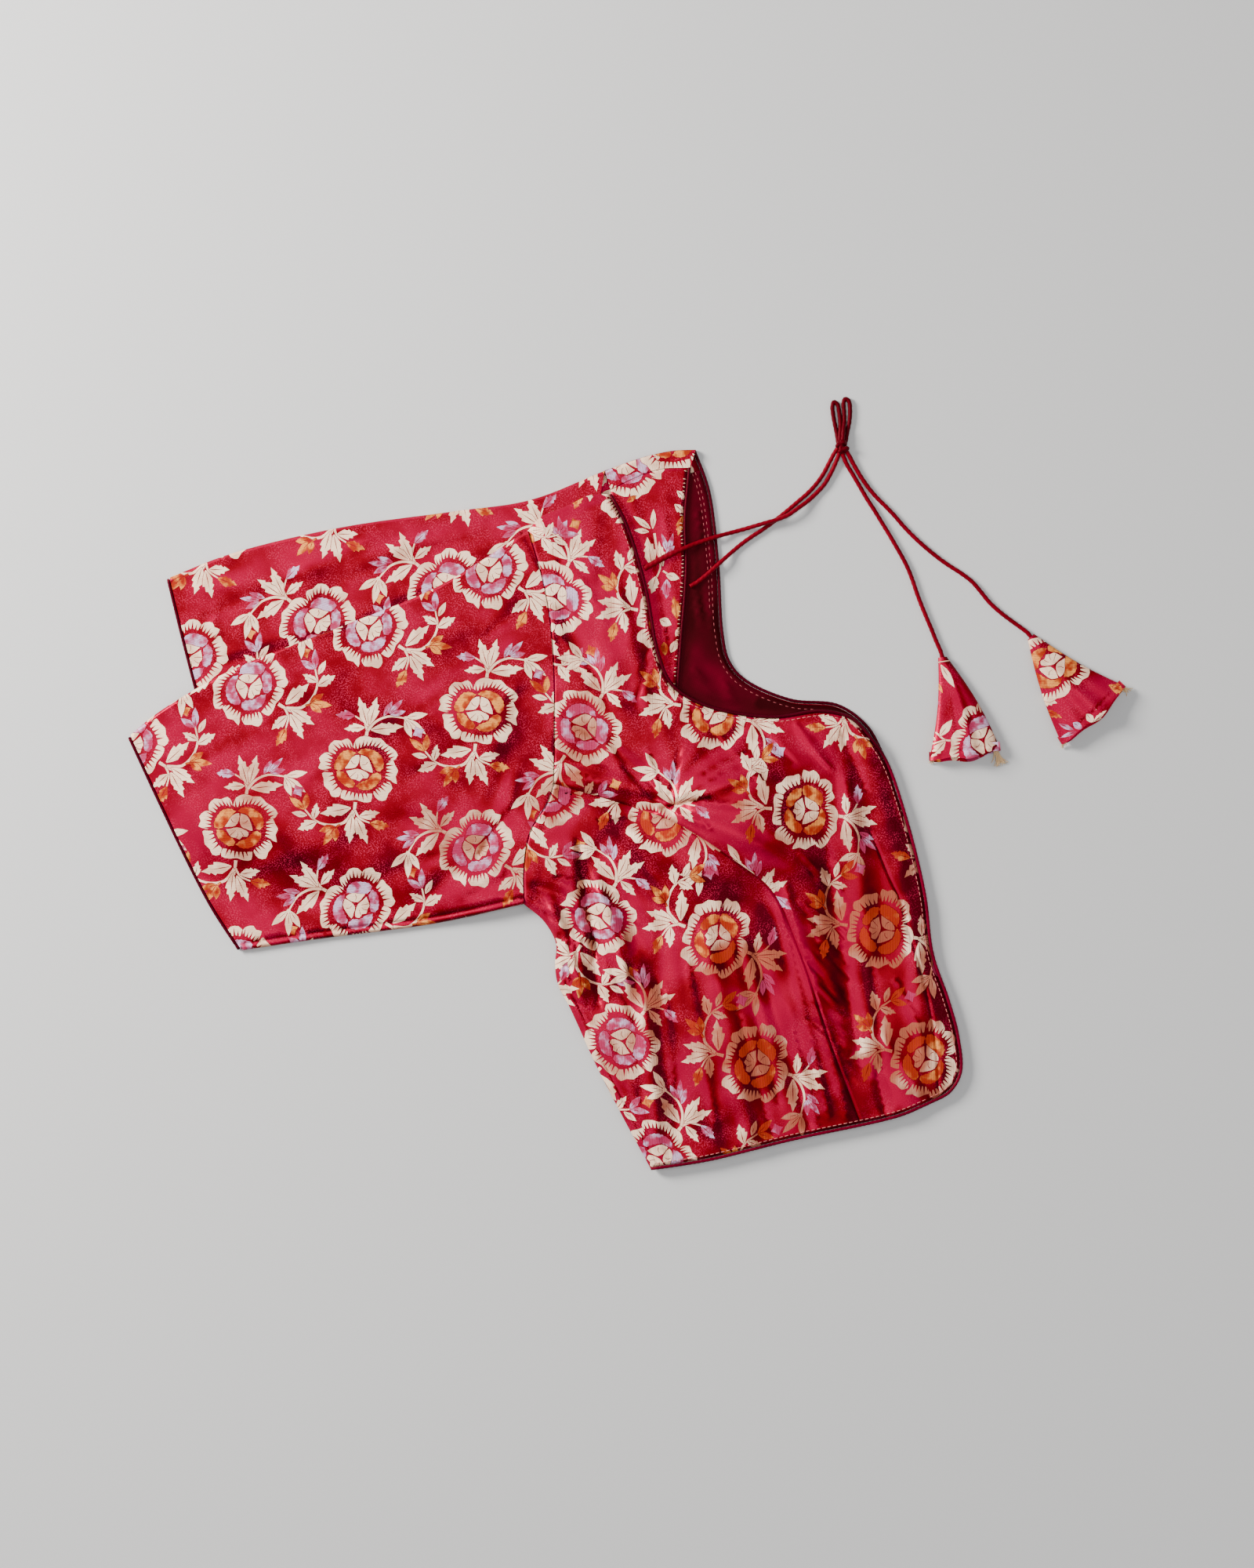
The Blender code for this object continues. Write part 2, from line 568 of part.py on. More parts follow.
def pipe(name, edge, height):
    """Piping that lies against a cloth edge, walked with the cloth on its right."""
    step = np.linalg.norm(np.diff(edge[:, :2], axis=0), axis=1)
    keep = np.concatenate([[True], step > 1.0])
    edge = edge[keep]
    ahead = np.diff(edge[:, :2], axis=0)
    ahead /= np.linalg.norm(ahead, axis=1)[:, None]
    before = np.vstack([ahead[:1], ahead])
    after = np.vstack([ahead, ahead[-1:]])
    left = np.stack([-(before + after)[:, 1], (before + after)[:, 0]], axis=1)
    left /= np.linalg.norm(left, axis=1)[:, None]
    lean = (left * np.stack([-before[:, 1], before[:, 0]], axis=1)).sum(axis=1)
    sharpest = 0.6              # a mitre is no longer than at this lean
    path = edge[:, :2] + left * ((PIPING_RADIUS + GAP) / np.maximum(lean, sharpest))[:, None]
    heights = np.broadcast_to(height, keep.shape)[keep]
    tube(name, with_height(path, heights), PIPING_RADIUS, "piping")


def make_near_front():
    """The near front in two panels that meet at the princess seam."""
    armhole = even(ARMHOLE_UPPER, UPPER_ROWS)
    princess = even(PRINCESS_SEAM, PRINCESS_ROWS)
    left = np.vstack([armhole, princess[1:]])
    free_edge = moved_in(smooth_line(NECK_NEAR + FRONT_EDGE[1:]), PIPE_STEP)
    right = at_shares(free_edge, np.linspace(0, 1, len(left)))
    shares = close_to_ends(PANEL_COLUMNS)
    seam_share = (PRINCESS_SEAM[-1][0] - HEM[-1][0]) / (HEM[0][0] - HEM[-1][0])
    hem = moved_in(smooth_line(HEM), PIPE_STEP)[::-1]
    hem_left = at_shares(hem, shares * seam_share)
    hem_right = at_shares(hem, seam_share + shares * (1 - seam_share))
    left[-1] = hem_right[0]
    right[-1] = hem_right[-1]
    shoulder = at_shares(smooth_line(SHOULDER_NEAR), shares)
    centre = patch(left, right, shoulder, hem_right, shares)
    centre = drawn_in(centre, left=SEAM_HALF)
    centre = with_height(centre, front_height(centre))
    sheet("front_centre_near", centre, CLOTH, "brocade")

    side_edge = even(SIDE_EDGE, PRINCESS_ROWS - LOWER_ROWS + 1)
    outer = np.vstack([even(ARMHOLE_LOWER, LOWER_ROWS), side_edge[1:]])
    outer[-1] = hem_left[0]
    inner = princess.copy()
    inner[-1] = hem_left[-1]
    start = np.repeat(princess[:1], PANEL_COLUMNS, axis=0)     # the panel's point on the armhole
    side = patch(outer, inner, start, hem_left, shares)
    blunt = 0.15                # the panel's point is cut off across this share of its first row
    side[0] += (side[1] - side[0]) * blunt
    side = drawn_in(side, left=SEAM_HALF, right=SEAM_HALF)
    side = with_height(side, front_height(side))
    sheet("front_side_near", side, CLOTH, "brocade")
    return np.vstack([centre[:, -1], centre[-1, -2::-1], side[-1, ::-1]])


def sleeve_rows(fold, seam, cuff, armhole, count, across):
    """Rows across a sleeve from the cuff to the armhole, each from the fold to the seam."""
    shares = np.linspace(0, 1, across)
    grid = patch(
        at_shares(smooth_line(cuff), shares),
        armhole,
        even(fold, count),
        even(seam, count),
        np.linspace(0, 1, count),
    )
    return grid.transpose(1, 0, 2)


def flat_tube(rows, floor, top):
    """Rings round a sleeve pressed flat, with half-round edges at its fold and its seam."""
    rings = []
    for row in rows:
        steps = np.linalg.norm(np.diff(row, axis=0), axis=1)
        length = steps.sum()
        half = SLEEVE_THICK / 2
        turn = half * (1 - math.cos(math.radians(45)))
        middle = np.linspace(half, length - half, len(row) - 2)
        reach = np.concatenate([[0, turn], middle, [length - turn, length]])
        line = at_shares(row, reach / length)
        low, high = floor(line), top(line)
        centre = (low + high) / 2
        share = np.ones(len(line))
        share[[0, -1]] = 0.0
        share[[1, -2]] = math.sin(math.radians(45))
        upper = with_height(line, centre + (high - centre) * share)
        lower = with_height(line, centre - (centre - low) * share)
        rings.append(np.vstack([upper, lower[-2:0:-1]]))
    return np.array(rings)


def near_sleeve_floor(points):
    return (SLEEVE_THICK + GAP) * climbed(points, far_sleeve_outline, SLEEVE_CLIMB)


def near_sleeve_top(points):
    calm = ramp(edge_distance(points, near_sleeve_outline) / SLEEVE_CALM)
    return near_sleeve_floor(points) + SLEEVE_THICK + raised(points, SLEEVE_FOLDS) * calm


def far_sleeve_floor(points):
    return np.zeros(points.shape[:-1])


def far_sleeve_top(points):
    """The far sleeve is flat where the near half lies on it, and soft where it shows."""
    covered = np.maximum(
        edge_distance(points, near_sleeve_outline),
        edge_distance(points, near_outline),
    )
    start, length = UNCOVERED
    shows = ramp((start - covered) / length)
    return SLEEVE_THICK + raised(points, FAR_SLEEVE_FOLDS) * shows


def make_sleeve(name, rows, floor, top):
    """A sleeve pressed flat, and the piping on its cuff."""
    rows = drawn_in(rows, top=PIPE_STEP, bottom=SEAM_HALF)
    rings = flat_tube(rows, floor, top)
    walled(loft(name, rings[:, ::-1], "brocade", around=True), CLOTH)
    cuff, inward = rings[0], rings[1] - rings[0]
    inward[:, 2] = 0
    inward /= np.linalg.norm(inward, axis=1)[:, None]
    middle = cuff.mean(axis=0)
    across = cuff - middle
    spread = np.linalg.norm(across[:, :2], axis=1).max()
    path = cuff - inward * (PIPING_RADIUS + GAP)
    path[:, :2] -= across[:, :2] / spread * (CLOTH / 2)
    lowest = floor(cuff) + PIPING_RADIUS + PIPE_LIFT
    highest = top(cuff) - PIPING_RADIUS - PIPE_LIFT
    path[:, 2] = np.clip(path[:, 2], lowest, highest)
    keep = np.ones(len(path), bool)
    fold, seam = 0, len(rows[0]) + 1
    keep[[fold + 1, fold - 1, seam - 1, seam + 1]] = False
    tube(name.replace("sleeve", "piping_cuff"), path[keep], PIPING_RADIUS, "piping", closed=True)


def make_sleeves():
    armhole = np.vstack([even(ARMHOLE_UPPER, UPPER_ROWS), even(ARMHOLE_LOWER, LOWER_ROWS)[1:]])
    rows = sleeve_rows(
        SLEEVE_FOLD_NEAR, SLEEVE_SEAM_NEAR, CUFF_NEAR, armhole, SLEEVE_ROWS, len(armhole)
    )
    make_sleeve("sleeve_near", rows, near_sleeve_floor, near_sleeve_top)
    armhole = even(ARMHOLE_FAR, FAR_ARMHOLE_ROWS)
    rows = sleeve_rows(
        SLEEVE_FOLD_FAR, SLEEVE_SEAM_FAR, CUFF_FAR, armhole, SLEEVE_ROWS - 2, len(armhole)
    )
    make_sleeve("sleeve_far", rows, far_sleeve_floor, far_sleeve_top)


def make_far_front():
    """The far front, outside down on the table, and turned over the shoulder to its seam."""
    behind = 1.5                # the far edges lie this far inside the near ones
    armhole = even(ARMHOLE_FAR, FAR_ARMHOLE_ROWS)
    side = moved_in(even(SIDE_EDGE, FAR_ROWS - FAR_ARMHOLE_ROWS + 1), -behind)
    left = np.vstack([armhole, side[1:]])
    neck = moved_in(smooth_line(NECK_FAR), PIPE_STEP)
    front = moved_in(smooth_line(FRONT_EDGE), PIPE_STEP + behind)
    corner = 6                  # points of the front edge that the neck's end already takes up
    right = at_shares(np.vstack([neck, front[corner:]]), np.linspace(0, 1, len(left)))
    shares = close_to_ends(FAR_COLUMNS, 0.5)
    top = at_shares(smooth_line(SHOULDER_FAR), shares)
    hem = at_shares(moved_in(smooth_line(HEM), PIPE_STEP + behind)[::-1], shares)
    flat = drawn_in(patch(left, right, top, hem, shares), left=SEAM_HALF)
    free_edge = np.vstack([flat[1:, -1], flat[-1, -2::-1]])
    bottom = with_height(flat, np.zeros(flat.shape[:-1]))
    half = BACK_TOP / 2
    seam = at_shares(smooth_line(SHOULDER_SEAM_FAR), shares)
    fold = flat[0]
    bottom[0, :, 1] -= half
    toward = (seam - fold) / np.linalg.norm(seam - fold, axis=1)[:, None]
    turned = []
    for degrees in (180, 135, 90, 45):
        angle = math.radians(degrees)
        ahead = half * (1 - math.sin(angle))
        height = half * (1 - math.cos(angle))
        turned.append(with_height(fold + toward * ahead, np.full(len(fold), height)))
    least = half + 0.8          # the cloth that is turned over is at least this long
    reach = np.maximum(np.linalg.norm(seam - fold, axis=1) - GAP, least)
    seam_row = with_height(fold + toward * reach[:, None], np.full(len(fold), BACK_TOP))
    rows = np.vstack([seam_row[None], np.array(turned), bottom[1:]])
    walled(loft("front_far", rows[:, ::-1], "brocade"), CLOTH)
    return with_height(free_edge, np.zeros(len(free_edge)))


def make_lining():
    """The far front's lining, seen through the neck."""
    behind = 0.4                # inside the far front's own edge
    ends = 6                    # points left out at both ends of the neck line
    below_fold = 9.0
    shares = close_to_ends(FAR_COLUMNS, 0.4)
    left = even(LINING_HIDDEN, LINING_ROWS)
    neck = moved_in(smooth_line(NECK_FAR), PIPE_STEP + behind)[ends:-ends]
    right = at_shares(neck, np.linspace(0, 1, LINING_ROWS))
    top = at_shares(np.array([left[0], right[0]]), shares)
    bottom = at_shares(np.array([left[-1], right[-1]]), shares)
    grid = drawn_in(patch(left, right, top, bottom, shares), top=below_fold)
    height = np.full(grid.shape[:-1], LINING_FLOOR + LINING)
    sheet("front_far_lining", with_height(grid, height), LINING, "lining")


def make_far_back():
    """The far back's shoulder strap and the piping on its deep neck edge."""
    shares = close_to_ends(FAR_COLUMNS, 0.4)
    left = even(BACK_HIDDEN, STRAP_ROWS)
    neck = moved_in(smooth_line(BACK_NECK), PIPE_STEP)
    right = at_shares(neck, np.linspace(0, 1, STRAP_ROWS))
    top = at_shares(smooth_line(SHOULDER_SEAM_FAR), shares)
    bottom = at_shares(np.array([left[-1], right[-1]]), shares)
    grid = drawn_in(patch(left, right, top, bottom, shares), top=SEAM_HALF)
    height = np.full(grid.shape[:-1], BACK_TOP)
    grid = with_height(grid, height)
    sheet("back_far", grid, CLOTH, "brocade")
    pipe("piping_back", grid[:, -1], BACK_TOP - CLOTH / 2)


def make_folded_layers():
    """The hidden layers as one rounded solid, stepped at its edge like the layers it stands for."""
    shares = close_to_ends(LAYER_COLUMNS, 0.5)
    left = np.vstack(
        [smooth_line(ARMHOLE_UPPER), smooth_line(ARMHOLE_LOWER)[1:], smooth_line(SIDE_EDGE)[1:]]
    )
    left = at_shares(left, np.linspace(0, 1, LAYER_ROWS))
    round_corner = 2            # points of the front edge from the rounded corner on
    right = even(NECK_NEAR + FRONT_EDGE[1:-round_corner], LAYER_ROWS)
    top = at_shares(smooth_line(SHOULDER_NEAR), shares)
    corner = FRONT_EDGE[-round_corner - 1:-1]
    bottom = at_shares(smooth_line(HEM[:0:-1] + corner[::-1]), shares)
    grid = patch(left, right, top, bottom, shares)
    grid = drawn_in(grid, **LAYERS_INSIDE)
    upper = with_height(grid, hidden_top(grid))
    lower = with_height(grid, hidden_floor(grid))
    upper[..., 2] = np.maximum(upper[..., 2], lower[..., 2] + LEAST_HIDDEN)
    between("folded_layers", upper, lower, "lining", LAYERED_RIM, RIM_REACH)


def make_tie():
    """The two cords from the back neck, their knot and bow, and the free ends."""
    routes = {
        "dori_near": (DORI_NEAR, CORD_STEP),
        "dori_far": (DORI_FAR, CORD_STEP),
        "tail_left": (TAIL_LEFT, CORD_STEP),
        "tail_right": (TAIL_RIGHT, CORD_STEP),
        "bow_loop_left": (BOW_LOOP_LEFT, LOOP_STEP),
        "bow_loop_right": (BOW_LOOP_RIGHT, LOOP_STEP),
    }
    for name, (route, step) in routes.items():
        tube(name, by_step(route, step), CORD_RADIUS, "cord")
    shape = bmesh.new()
    bmesh.ops.create_uvsphere(shape, u_segments=16, v_segments=10, radius=1)
    for vert in shape.verts:
        across, along, up = (reach * MM for reach in KNOT_REACH)
        vert.co = (vert.co.x * across, vert.co.y * along, vert.co.z * up)
    knot = finished("tie_knot", shape, "cord")
    knot.location = (KNOT_CENTRE[0] * MM, KNOT_CENTRE[1] * MM, (KNOT_REACH[2] + PIPE_LIFT) * MM)


def make_tassels():
    """Cloth cones lying on the table, open at the mouth."""
    for name, (x, y, ax, ay, bx, by, bow) in TASSELS.items():
        tip = np.array([x, y], float)
        left, right = np.array([ax, ay], float), np.array([bx, by], float)
        mouth = (left + right) / 2
        axis = (mouth - tip) / np.linalg.norm(mouth - tip)
        across = (right - left) / np.linalg.norm(right - left)
        rows = []
        mouth_half = np.linalg.norm(right - left) / 2
        for share in np.linspace(0, 1, TASSEL_ROWS):
            half = TASSEL_TIP + (mouth_half - TASSEL_TIP) * share ** TASSEL_FLARE
            swell = share ** TASSEL_SWELL
            height = TASSEL_TIP_HEIGHT + (TASSEL_MOUTH_HEIGHT - TASSEL_TIP_HEIGHT) * swell
            centre = tip + (mouth - tip) * share
            ring = []
            for k in range(TASSEL_AROUND):
                angle = 2 * math.pi * k / TASSEL_AROUND
                reach = math.cos(angle)
                lift = math.sin(angle)
                rise = (1 + lift) if lift > 0 else (1 + lift) ** 2
                flat = centre + across * half * reach + axis * bow * share ** 2 * (1 - reach ** 2)
                ring.append((*flat, height / 2 * rise))
            rows.append(ring)
        walled(loft(name, np.array(rows)[:, ::-1], "brocade", around=True), CLOTH)


clear_scene()
blouse = bpy.data.collections.new("backless_blouse")
bpy.context.scene.collection.children.link(blouse)

far_edge = make_far_front()
pipe("piping_far", far_edge, PIPING_RADIUS + PIPE_LIFT)
make_lining()
make_far_back()
make_sleeves()
make_folded_layers()
near_edge = make_near_front()
pipe("piping_near", near_edge, near_edge[:, 2] - CLOTH / 2)
make_tie()
make_tassels()
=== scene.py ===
# Backless brocade blouse, folded in half and laid flat, with its tie cords and cloth tassels
# All tables are in millimetres, seen from above: x towards the centre front, y towards the shoulder

import math
import random

import bmesh
import bpy
import numpy as np
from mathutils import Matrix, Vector
from mathutils.geometry import delaunay_2d_cdt


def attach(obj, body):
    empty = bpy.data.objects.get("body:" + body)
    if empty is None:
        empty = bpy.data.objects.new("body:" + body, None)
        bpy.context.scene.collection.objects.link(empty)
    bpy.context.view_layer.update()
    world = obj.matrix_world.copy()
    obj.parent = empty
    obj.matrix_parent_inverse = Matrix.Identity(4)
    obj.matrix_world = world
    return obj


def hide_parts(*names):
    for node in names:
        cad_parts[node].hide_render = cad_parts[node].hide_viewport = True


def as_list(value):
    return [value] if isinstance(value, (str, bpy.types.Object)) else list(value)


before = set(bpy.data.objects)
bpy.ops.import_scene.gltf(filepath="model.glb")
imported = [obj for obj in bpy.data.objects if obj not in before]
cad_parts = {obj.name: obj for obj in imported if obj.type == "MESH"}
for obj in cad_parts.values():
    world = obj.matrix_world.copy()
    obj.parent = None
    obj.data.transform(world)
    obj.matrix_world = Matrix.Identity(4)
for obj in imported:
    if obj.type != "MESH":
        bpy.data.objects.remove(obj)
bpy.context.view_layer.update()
mm = 0.001
print("frame loaded,", len(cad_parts), "nodes")


def linked(name, data):
    made = bpy.data.objects.new(name, data)
    bpy.context.scene.collection.objects.link(made)
    return made


# camera, floor and studio light

view = {
    "target": (58.9, 19.7),      # middle of the picture on the table
    "turn": -12.5,               # the blouse lies turned by this many degrees
    "frameHeight": 888,
    "lens": 85,
    "sensor": 36,                # spans the picture's height
    "midHeight": 6,              # height of the cloth above the table
}


def addCamera():
    data = bpy.data.cameras.new("camera")
    data.lens = view["lens"]
    data.sensor_width = view["sensor"]
    camera = linked("camera", data)
    distance = view["frameHeight"] * view["lens"] / view["sensor"] + view["midHeight"]
    camera.location = (view["target"][0] * mm, view["target"][1] * mm, distance * mm)
    camera.rotation_euler = (0, 0, math.radians(view["turn"]))
    bpy.context.scene.camera = camera


studio = {
    "floorColor": (0.56, 0.556, 0.552),
    "worldColor": (0.96, 0.97, 1.0),
    "worldStrength": 0.34,
    # name: place in metres, what it points at, size, watts, colour
    "lamps": {
        "key": ((-1.05, 0.95, 0.80), (0.02, 0.0, 0), 0.55, 73, (1.0, 0.98, 0.95)),
        "fill": ((1.3, -0.6, 1.2), (0.05, 0.0, 0), 1.2, 5.2, (0.96, 0.98, 1.0)),
        "top": ((0.1, 0.0, 2.4), (0.05, 0.0, 0), 1.2, 22, (1.0, 1.0, 1.0)),
    },
}


def addStudio():
    bpy.ops.mesh.primitive_plane_add(size=8, location=(0, 0, -0.0002))
    floor = bpy.context.object
    floor.name = "floor"
    paper = bpy.data.materials.new("floorPaper")
    paper.use_nodes = True
    shader = paper.node_tree.nodes["Principled BSDF"]
    shader.inputs["Base Color"].default_value = (*studio["floorColor"], 1)
    shader.inputs["Roughness"].default_value = 0.75
    floor.data.materials.append(paper)
    for name, (place, aim, size, watts, color) in studio["lamps"].items():
        data = bpy.data.lights.new(name, "AREA")
        data.shape = "SQUARE"
        data.size = size
        data.energy = watts
        data.color = color
        lamp = linked(name, data)
        lamp.location = place
        lamp.rotation_euler = (Vector(aim) - Vector(place)).to_track_quat("-Z", "Y").to_euler()
    world = bpy.data.worlds.new("studio")
    world.use_nodes = True
    background = world.node_tree.nodes["Background"]
    background.inputs["Color"].default_value = (*studio["worldColor"], 1)
    background.inputs["Strength"].default_value = studio["worldStrength"]
    bpy.context.scene.world = world


addCamera()
addStudio()
print("camera and studio ready")


# lines and surfaces

def splineThrough(points, perSpan=16):
    # centripetal spline, so uneven points give no loops
    given = np.array(points, float)
    knots = np.vstack([2 * given[0] - given[1], given, 2 * given[-1] - given[-2]])
    fine = []
    for a, b, c, d in zip(knots, knots[1:], knots[2:], knots[3:]):
        t0 = 0.0
        t1 = t0 + math.sqrt(np.linalg.norm(b - a))
        t2 = t1 + math.sqrt(np.linalg.norm(c - b))
        t3 = t2 + math.sqrt(np.linalg.norm(d - c))
        t = np.linspace(t1, t2, perSpan, endpoint=False)[:, None]
        a1 = (t1 - t) / (t1 - t0) * a + (t - t0) / (t1 - t0) * b
        a2 = (t2 - t) / (t2 - t1) * b + (t - t1) / (t2 - t1) * c
        a3 = (t3 - t) / (t3 - t2) * c + (t - t2) / (t3 - t2) * d
        b1 = (t2 - t) / (t2 - t0) * a1 + (t - t0) / (t2 - t0) * a2
        b2 = (t3 - t) / (t3 - t1) * a2 + (t - t1) / (t3 - t1) * a3
        fine.append((t2 - t) / (t2 - t1) * b1 + (t - t1) / (t2 - t1) * b2)
    fine.append(given[-1:])
    return np.vstack(fine)


def lengthOf(line):
    return float(np.linalg.norm(np.diff(line, axis=0), axis=1).sum())


def runAlong(line):
    return np.concatenate([[0.0], np.cumsum(np.linalg.norm(np.diff(line, axis=0), axis=1))])


def unit(vectors):
    return vectors / np.maximum(np.linalg.norm(vectors, axis=1), 1e-9)[:, None]


def rightOf(ahead):
    return np.stack([ahead[:, 1], -ahead[:, 0]], axis=1)


def cosSin(degrees):
    return math.cos(math.radians(degrees)), math.sin(math.radians(degrees))


def atShares(line, shares):
    run = runAlong(line)
    wanted = np.asarray(shares) * run[-1]
    return np.stack([np.interp(wanted, run, line[:, k]) for k in range(line.shape[1])], axis=1)


def byStep(line, step):
    return atShares(line, np.linspace(0, 1, max(3, round(lengthOf(line) / step) + 1)))


def evenLine(points, step=2.5):
    return byStep(splineThrough(points), step)


def straight(start, end, step):
    return byStep(np.array([start, end]), step)


def movedRight(line, distance):
    # to the right-hand side, walking from the first point to the last
    return line + rightOf(unit(np.gradient(line, axis=0))) * distance


def ringOf(*lines):
    return np.vstack([line[:-1] for line in lines])


def edgeDistance(points, outline, closed=True):
    # inside a closed outline it is positive, outside negative
    flat = points[..., :2].reshape(-1, 2)
    starts = outline if closed else outline[:-1]
    ends = np.roll(outline, -1, axis=0) if closed else outline[1:]
    nearest = np.full(len(flat), 1e9)
    crossed = np.zeros(len(flat), bool)
    for a, b in zip(starts, ends):
        along = b - a
        share = np.clip(((flat - a) @ along) / max(along @ along, 1e-9), 0, 1)
        away = flat - a - share[:, None] * along
        nearest = np.minimum(nearest, (away * away).sum(axis=1))
        if closed and a[1] != b[1]:
            spans = (a[1] > flat[:, 1]) != (b[1] > flat[:, 1])
            crossed ^= spans & (flat[:, 0] < a[0] + (flat[:, 1] - a[1]) * along[0] / along[1])
    nearest = np.sqrt(nearest)
    if closed:
        nearest = np.where(crossed, nearest, -nearest)
    return nearest.reshape(points.shape[:-1])


def area2(points):
    x, y = points[:, 0], points[:, 1]
    return float(np.dot(x, np.roll(y, -1)) - np.dot(y, np.roll(x, -1)))


def leftTurning(outline):
    return outline if area2(outline) > 0 else outline[::-1]


def ramp(value):
    t = np.clip(value, 0, 1)
    return t * t * (3 - 2 * t)


creaseEnds = {"slimmer": 0.45, "fade": 1.6}   # share lost in width, and half widths that it fades over


def creased(points, rows):
    # each row: from x, y to x, y, half width, height; it fades past both ends
    total = np.zeros(points.shape[:-1])
    for x0, y0, x1, y1, width, height in rows:
        start = np.array([x0, y0], float)
        along = np.array([x1, y1], float) - start
        length = max(np.linalg.norm(along), 1e-6)
        share = ((points - start) @ along) / length ** 2
        past = np.maximum(np.abs(share - 0.5) - 0.5, 0) * length
        away = np.abs((points - start) @ np.array([-along[1], along[0]])) / length
        slim = 1 - creaseEnds["slimmer"] * np.clip(np.abs(share - 0.5) * 2, 0, 1) ** 2
        total += height * np.exp(-(away / (width * slim)) ** 2 - (past / (width * creaseEnds["fade"])) ** 2)
    return total


# outlines of the folded blouse

cut = {
    "shoulderNear": [(35, 172), (44, 178), (60, 181), (74, 184), (86, 182)],
    "armholeUpper": [(35, 172), (37, 138), (34, 103), (24, 54), (18, 29)],
    "armholeLower": [(18, 29), (13, 20), (-1, 5), (-9, -15), (-13, -34)],
    "sideEdge": [
        (-13, -34), (-4, -46), (0, -60), (-3, -71), (-4, -82), (0, -98), (7, -131), (14, -158), (25, -197),
    ],
    "princess": [
        (18, 29), (56, 8), (80, -7), (112, -39), (126, -57), (134, -95), (140, -150), (147, -199),
    ],
    "neckNear": [
        (86, 182), (91, 164), (94, 128), (93, 87), (97, 69), (113, 54), (147, 40), (176, 37), (192, 29),
        (200, 16), (206, 1),
    ],
    "frontEdge": [
        (206, 1), (210, -33), (211, -77), (208, -112), (211, -139), (212, -160), (209, -181),
        (200, -191), (186, -195),
    ],
    "hem": [(186, -195), (168, -198), (106, -198), (57, -199), (25, -197)],
    "cuffNear": [(-212, 107), (-203, 66), (-188, 5), (-177, -25)],
    "foldNear": [(-212, 107), (-194, 116), (-147, 131), (-79, 142), (-22, 152), (35, 172)],
    "sleeveSeamNear": [(-177, -25), (-134, -28), (-64, -34), (-13, -34)],
    "cuffFar": [(-171, 190), (-170, 147), (-166, 55)],
    "foldFar": [(-171, 190), (-132, 196), (-67, 197), (-3, 192), (40, 189), (85, 196)],
    "sleeveSeamFar": [(-166, 55), (-105, 28), (-47, -4), (-14, -30)],
    "armholeFar": [(85, 196), (62, 140), (24, 55), (-14, -30)],
    "shoulderFar": [(85, 196), (108, 198.7), (125, 198.7), (138, 196.5)],
    "shoulderSeamFar": [(86, 185), (104, 189), (116, 190), (133, 187)],
    "neckFar": [
        (138, 196.5), (141, 172), (137, 130), (131, 92), (131, 76), (137, 64), (160, 47), (186, 38),
        (200, 22), (206, 1),
    ],
    "backNeck": [(133, 187), (124, 158), (119, 132), (107, 92), (98, 62)],
    "backHidden": [(86, 185), (80, 150), (70, 105), (62, 62)],
    "liningHidden": [(98, 183), (100, 120), (94, 70), (110, 38), (150, 22), (190, 2)],
}

# heights above the table
level = {
    "cloth": 1.2,
    "gap": 0.3,
    "sleeve": 3.6,               # a sleeve pressed flat
    "liningFloor": 1.5,
    "lining": 1.0,
    "backTop": 4.0,
    "edgeTop": 5.7,              # near front at its free edges
    "upperTop": 7.5,             # near front where it lies on the far sleeve and strap
    "piping": 0.8,               # radius
}
pipeStep = 2 * level["piping"] + level["gap"]

line = {name: splineThrough(points) for name, points in cut.items()}


def coarse(name):
    return byStep(line[name], 9)


softOutlines = {
    "near": ringOf(
        coarse("shoulderNear"), coarse("neckNear"), coarse("frontEdge"), coarse("hem"),
        coarse("sideEdge")[::-1], coarse("armholeLower")[::-1], coarse("armholeUpper")[::-1],
    ),
    "farSleeve": ringOf(
        coarse("foldFar"), coarse("armholeFar"), coarse("sleeveSeamFar")[::-1], coarse("cuffFar")[::-1],
    ),
    "nearSleeve": ringOf(
        coarse("foldNear"), coarse("armholeUpper"), coarse("armholeLower"),
        coarse("sleeveSeamNear")[::-1], coarse("cuffNear")[::-1],
    ),
    "strap": ringOf(
        coarse("shoulderSeamFar"), coarse("backNeck"),
        np.array([cut["backNeck"][-1], cut["backHidden"][-1]], float), coarse("backHidden")[::-1],
    ),
}
softGrids = {}
softRange = {"low": (-250, -250), "high": (380, 240), "pitch": 1.3}


def softDistance(points, name):
    # distance from a named outline or line, read from a grid, for slow changes of height
    pitch = softRange["pitch"]
    low = np.array(softRange["low"], float)
    if name not in softGrids:
        xs, ys = (np.arange(softRange["low"][k], softRange["high"][k], pitch) for k in (0, 1))
        grid = np.stack(np.meshgrid(xs, ys, indexing="ij"), axis=-1)
        closed = name in softOutlines
        softGrids[name] = edgeDistance(grid, softOutlines[name] if closed else coarse(name), closed)
    grid = softGrids[name]
    place = np.clip((points - low) / pitch, 0, np.array(grid.shape) - 1.001)
    i, j = place[..., 0].astype(int), place[..., 1].astype(int)
    u, v = place[..., 0] - i, place[..., 1] - j
    near = grid[i, j] * (1 - u) + grid[i + 1, j] * u
    far = grid[i, j + 1] * (1 - u) + grid[i + 1, j + 1] * u
    return near * (1 - v) + far * v


# woven rose repeat: a rose, a fan of leaves above it and a curved spray below it

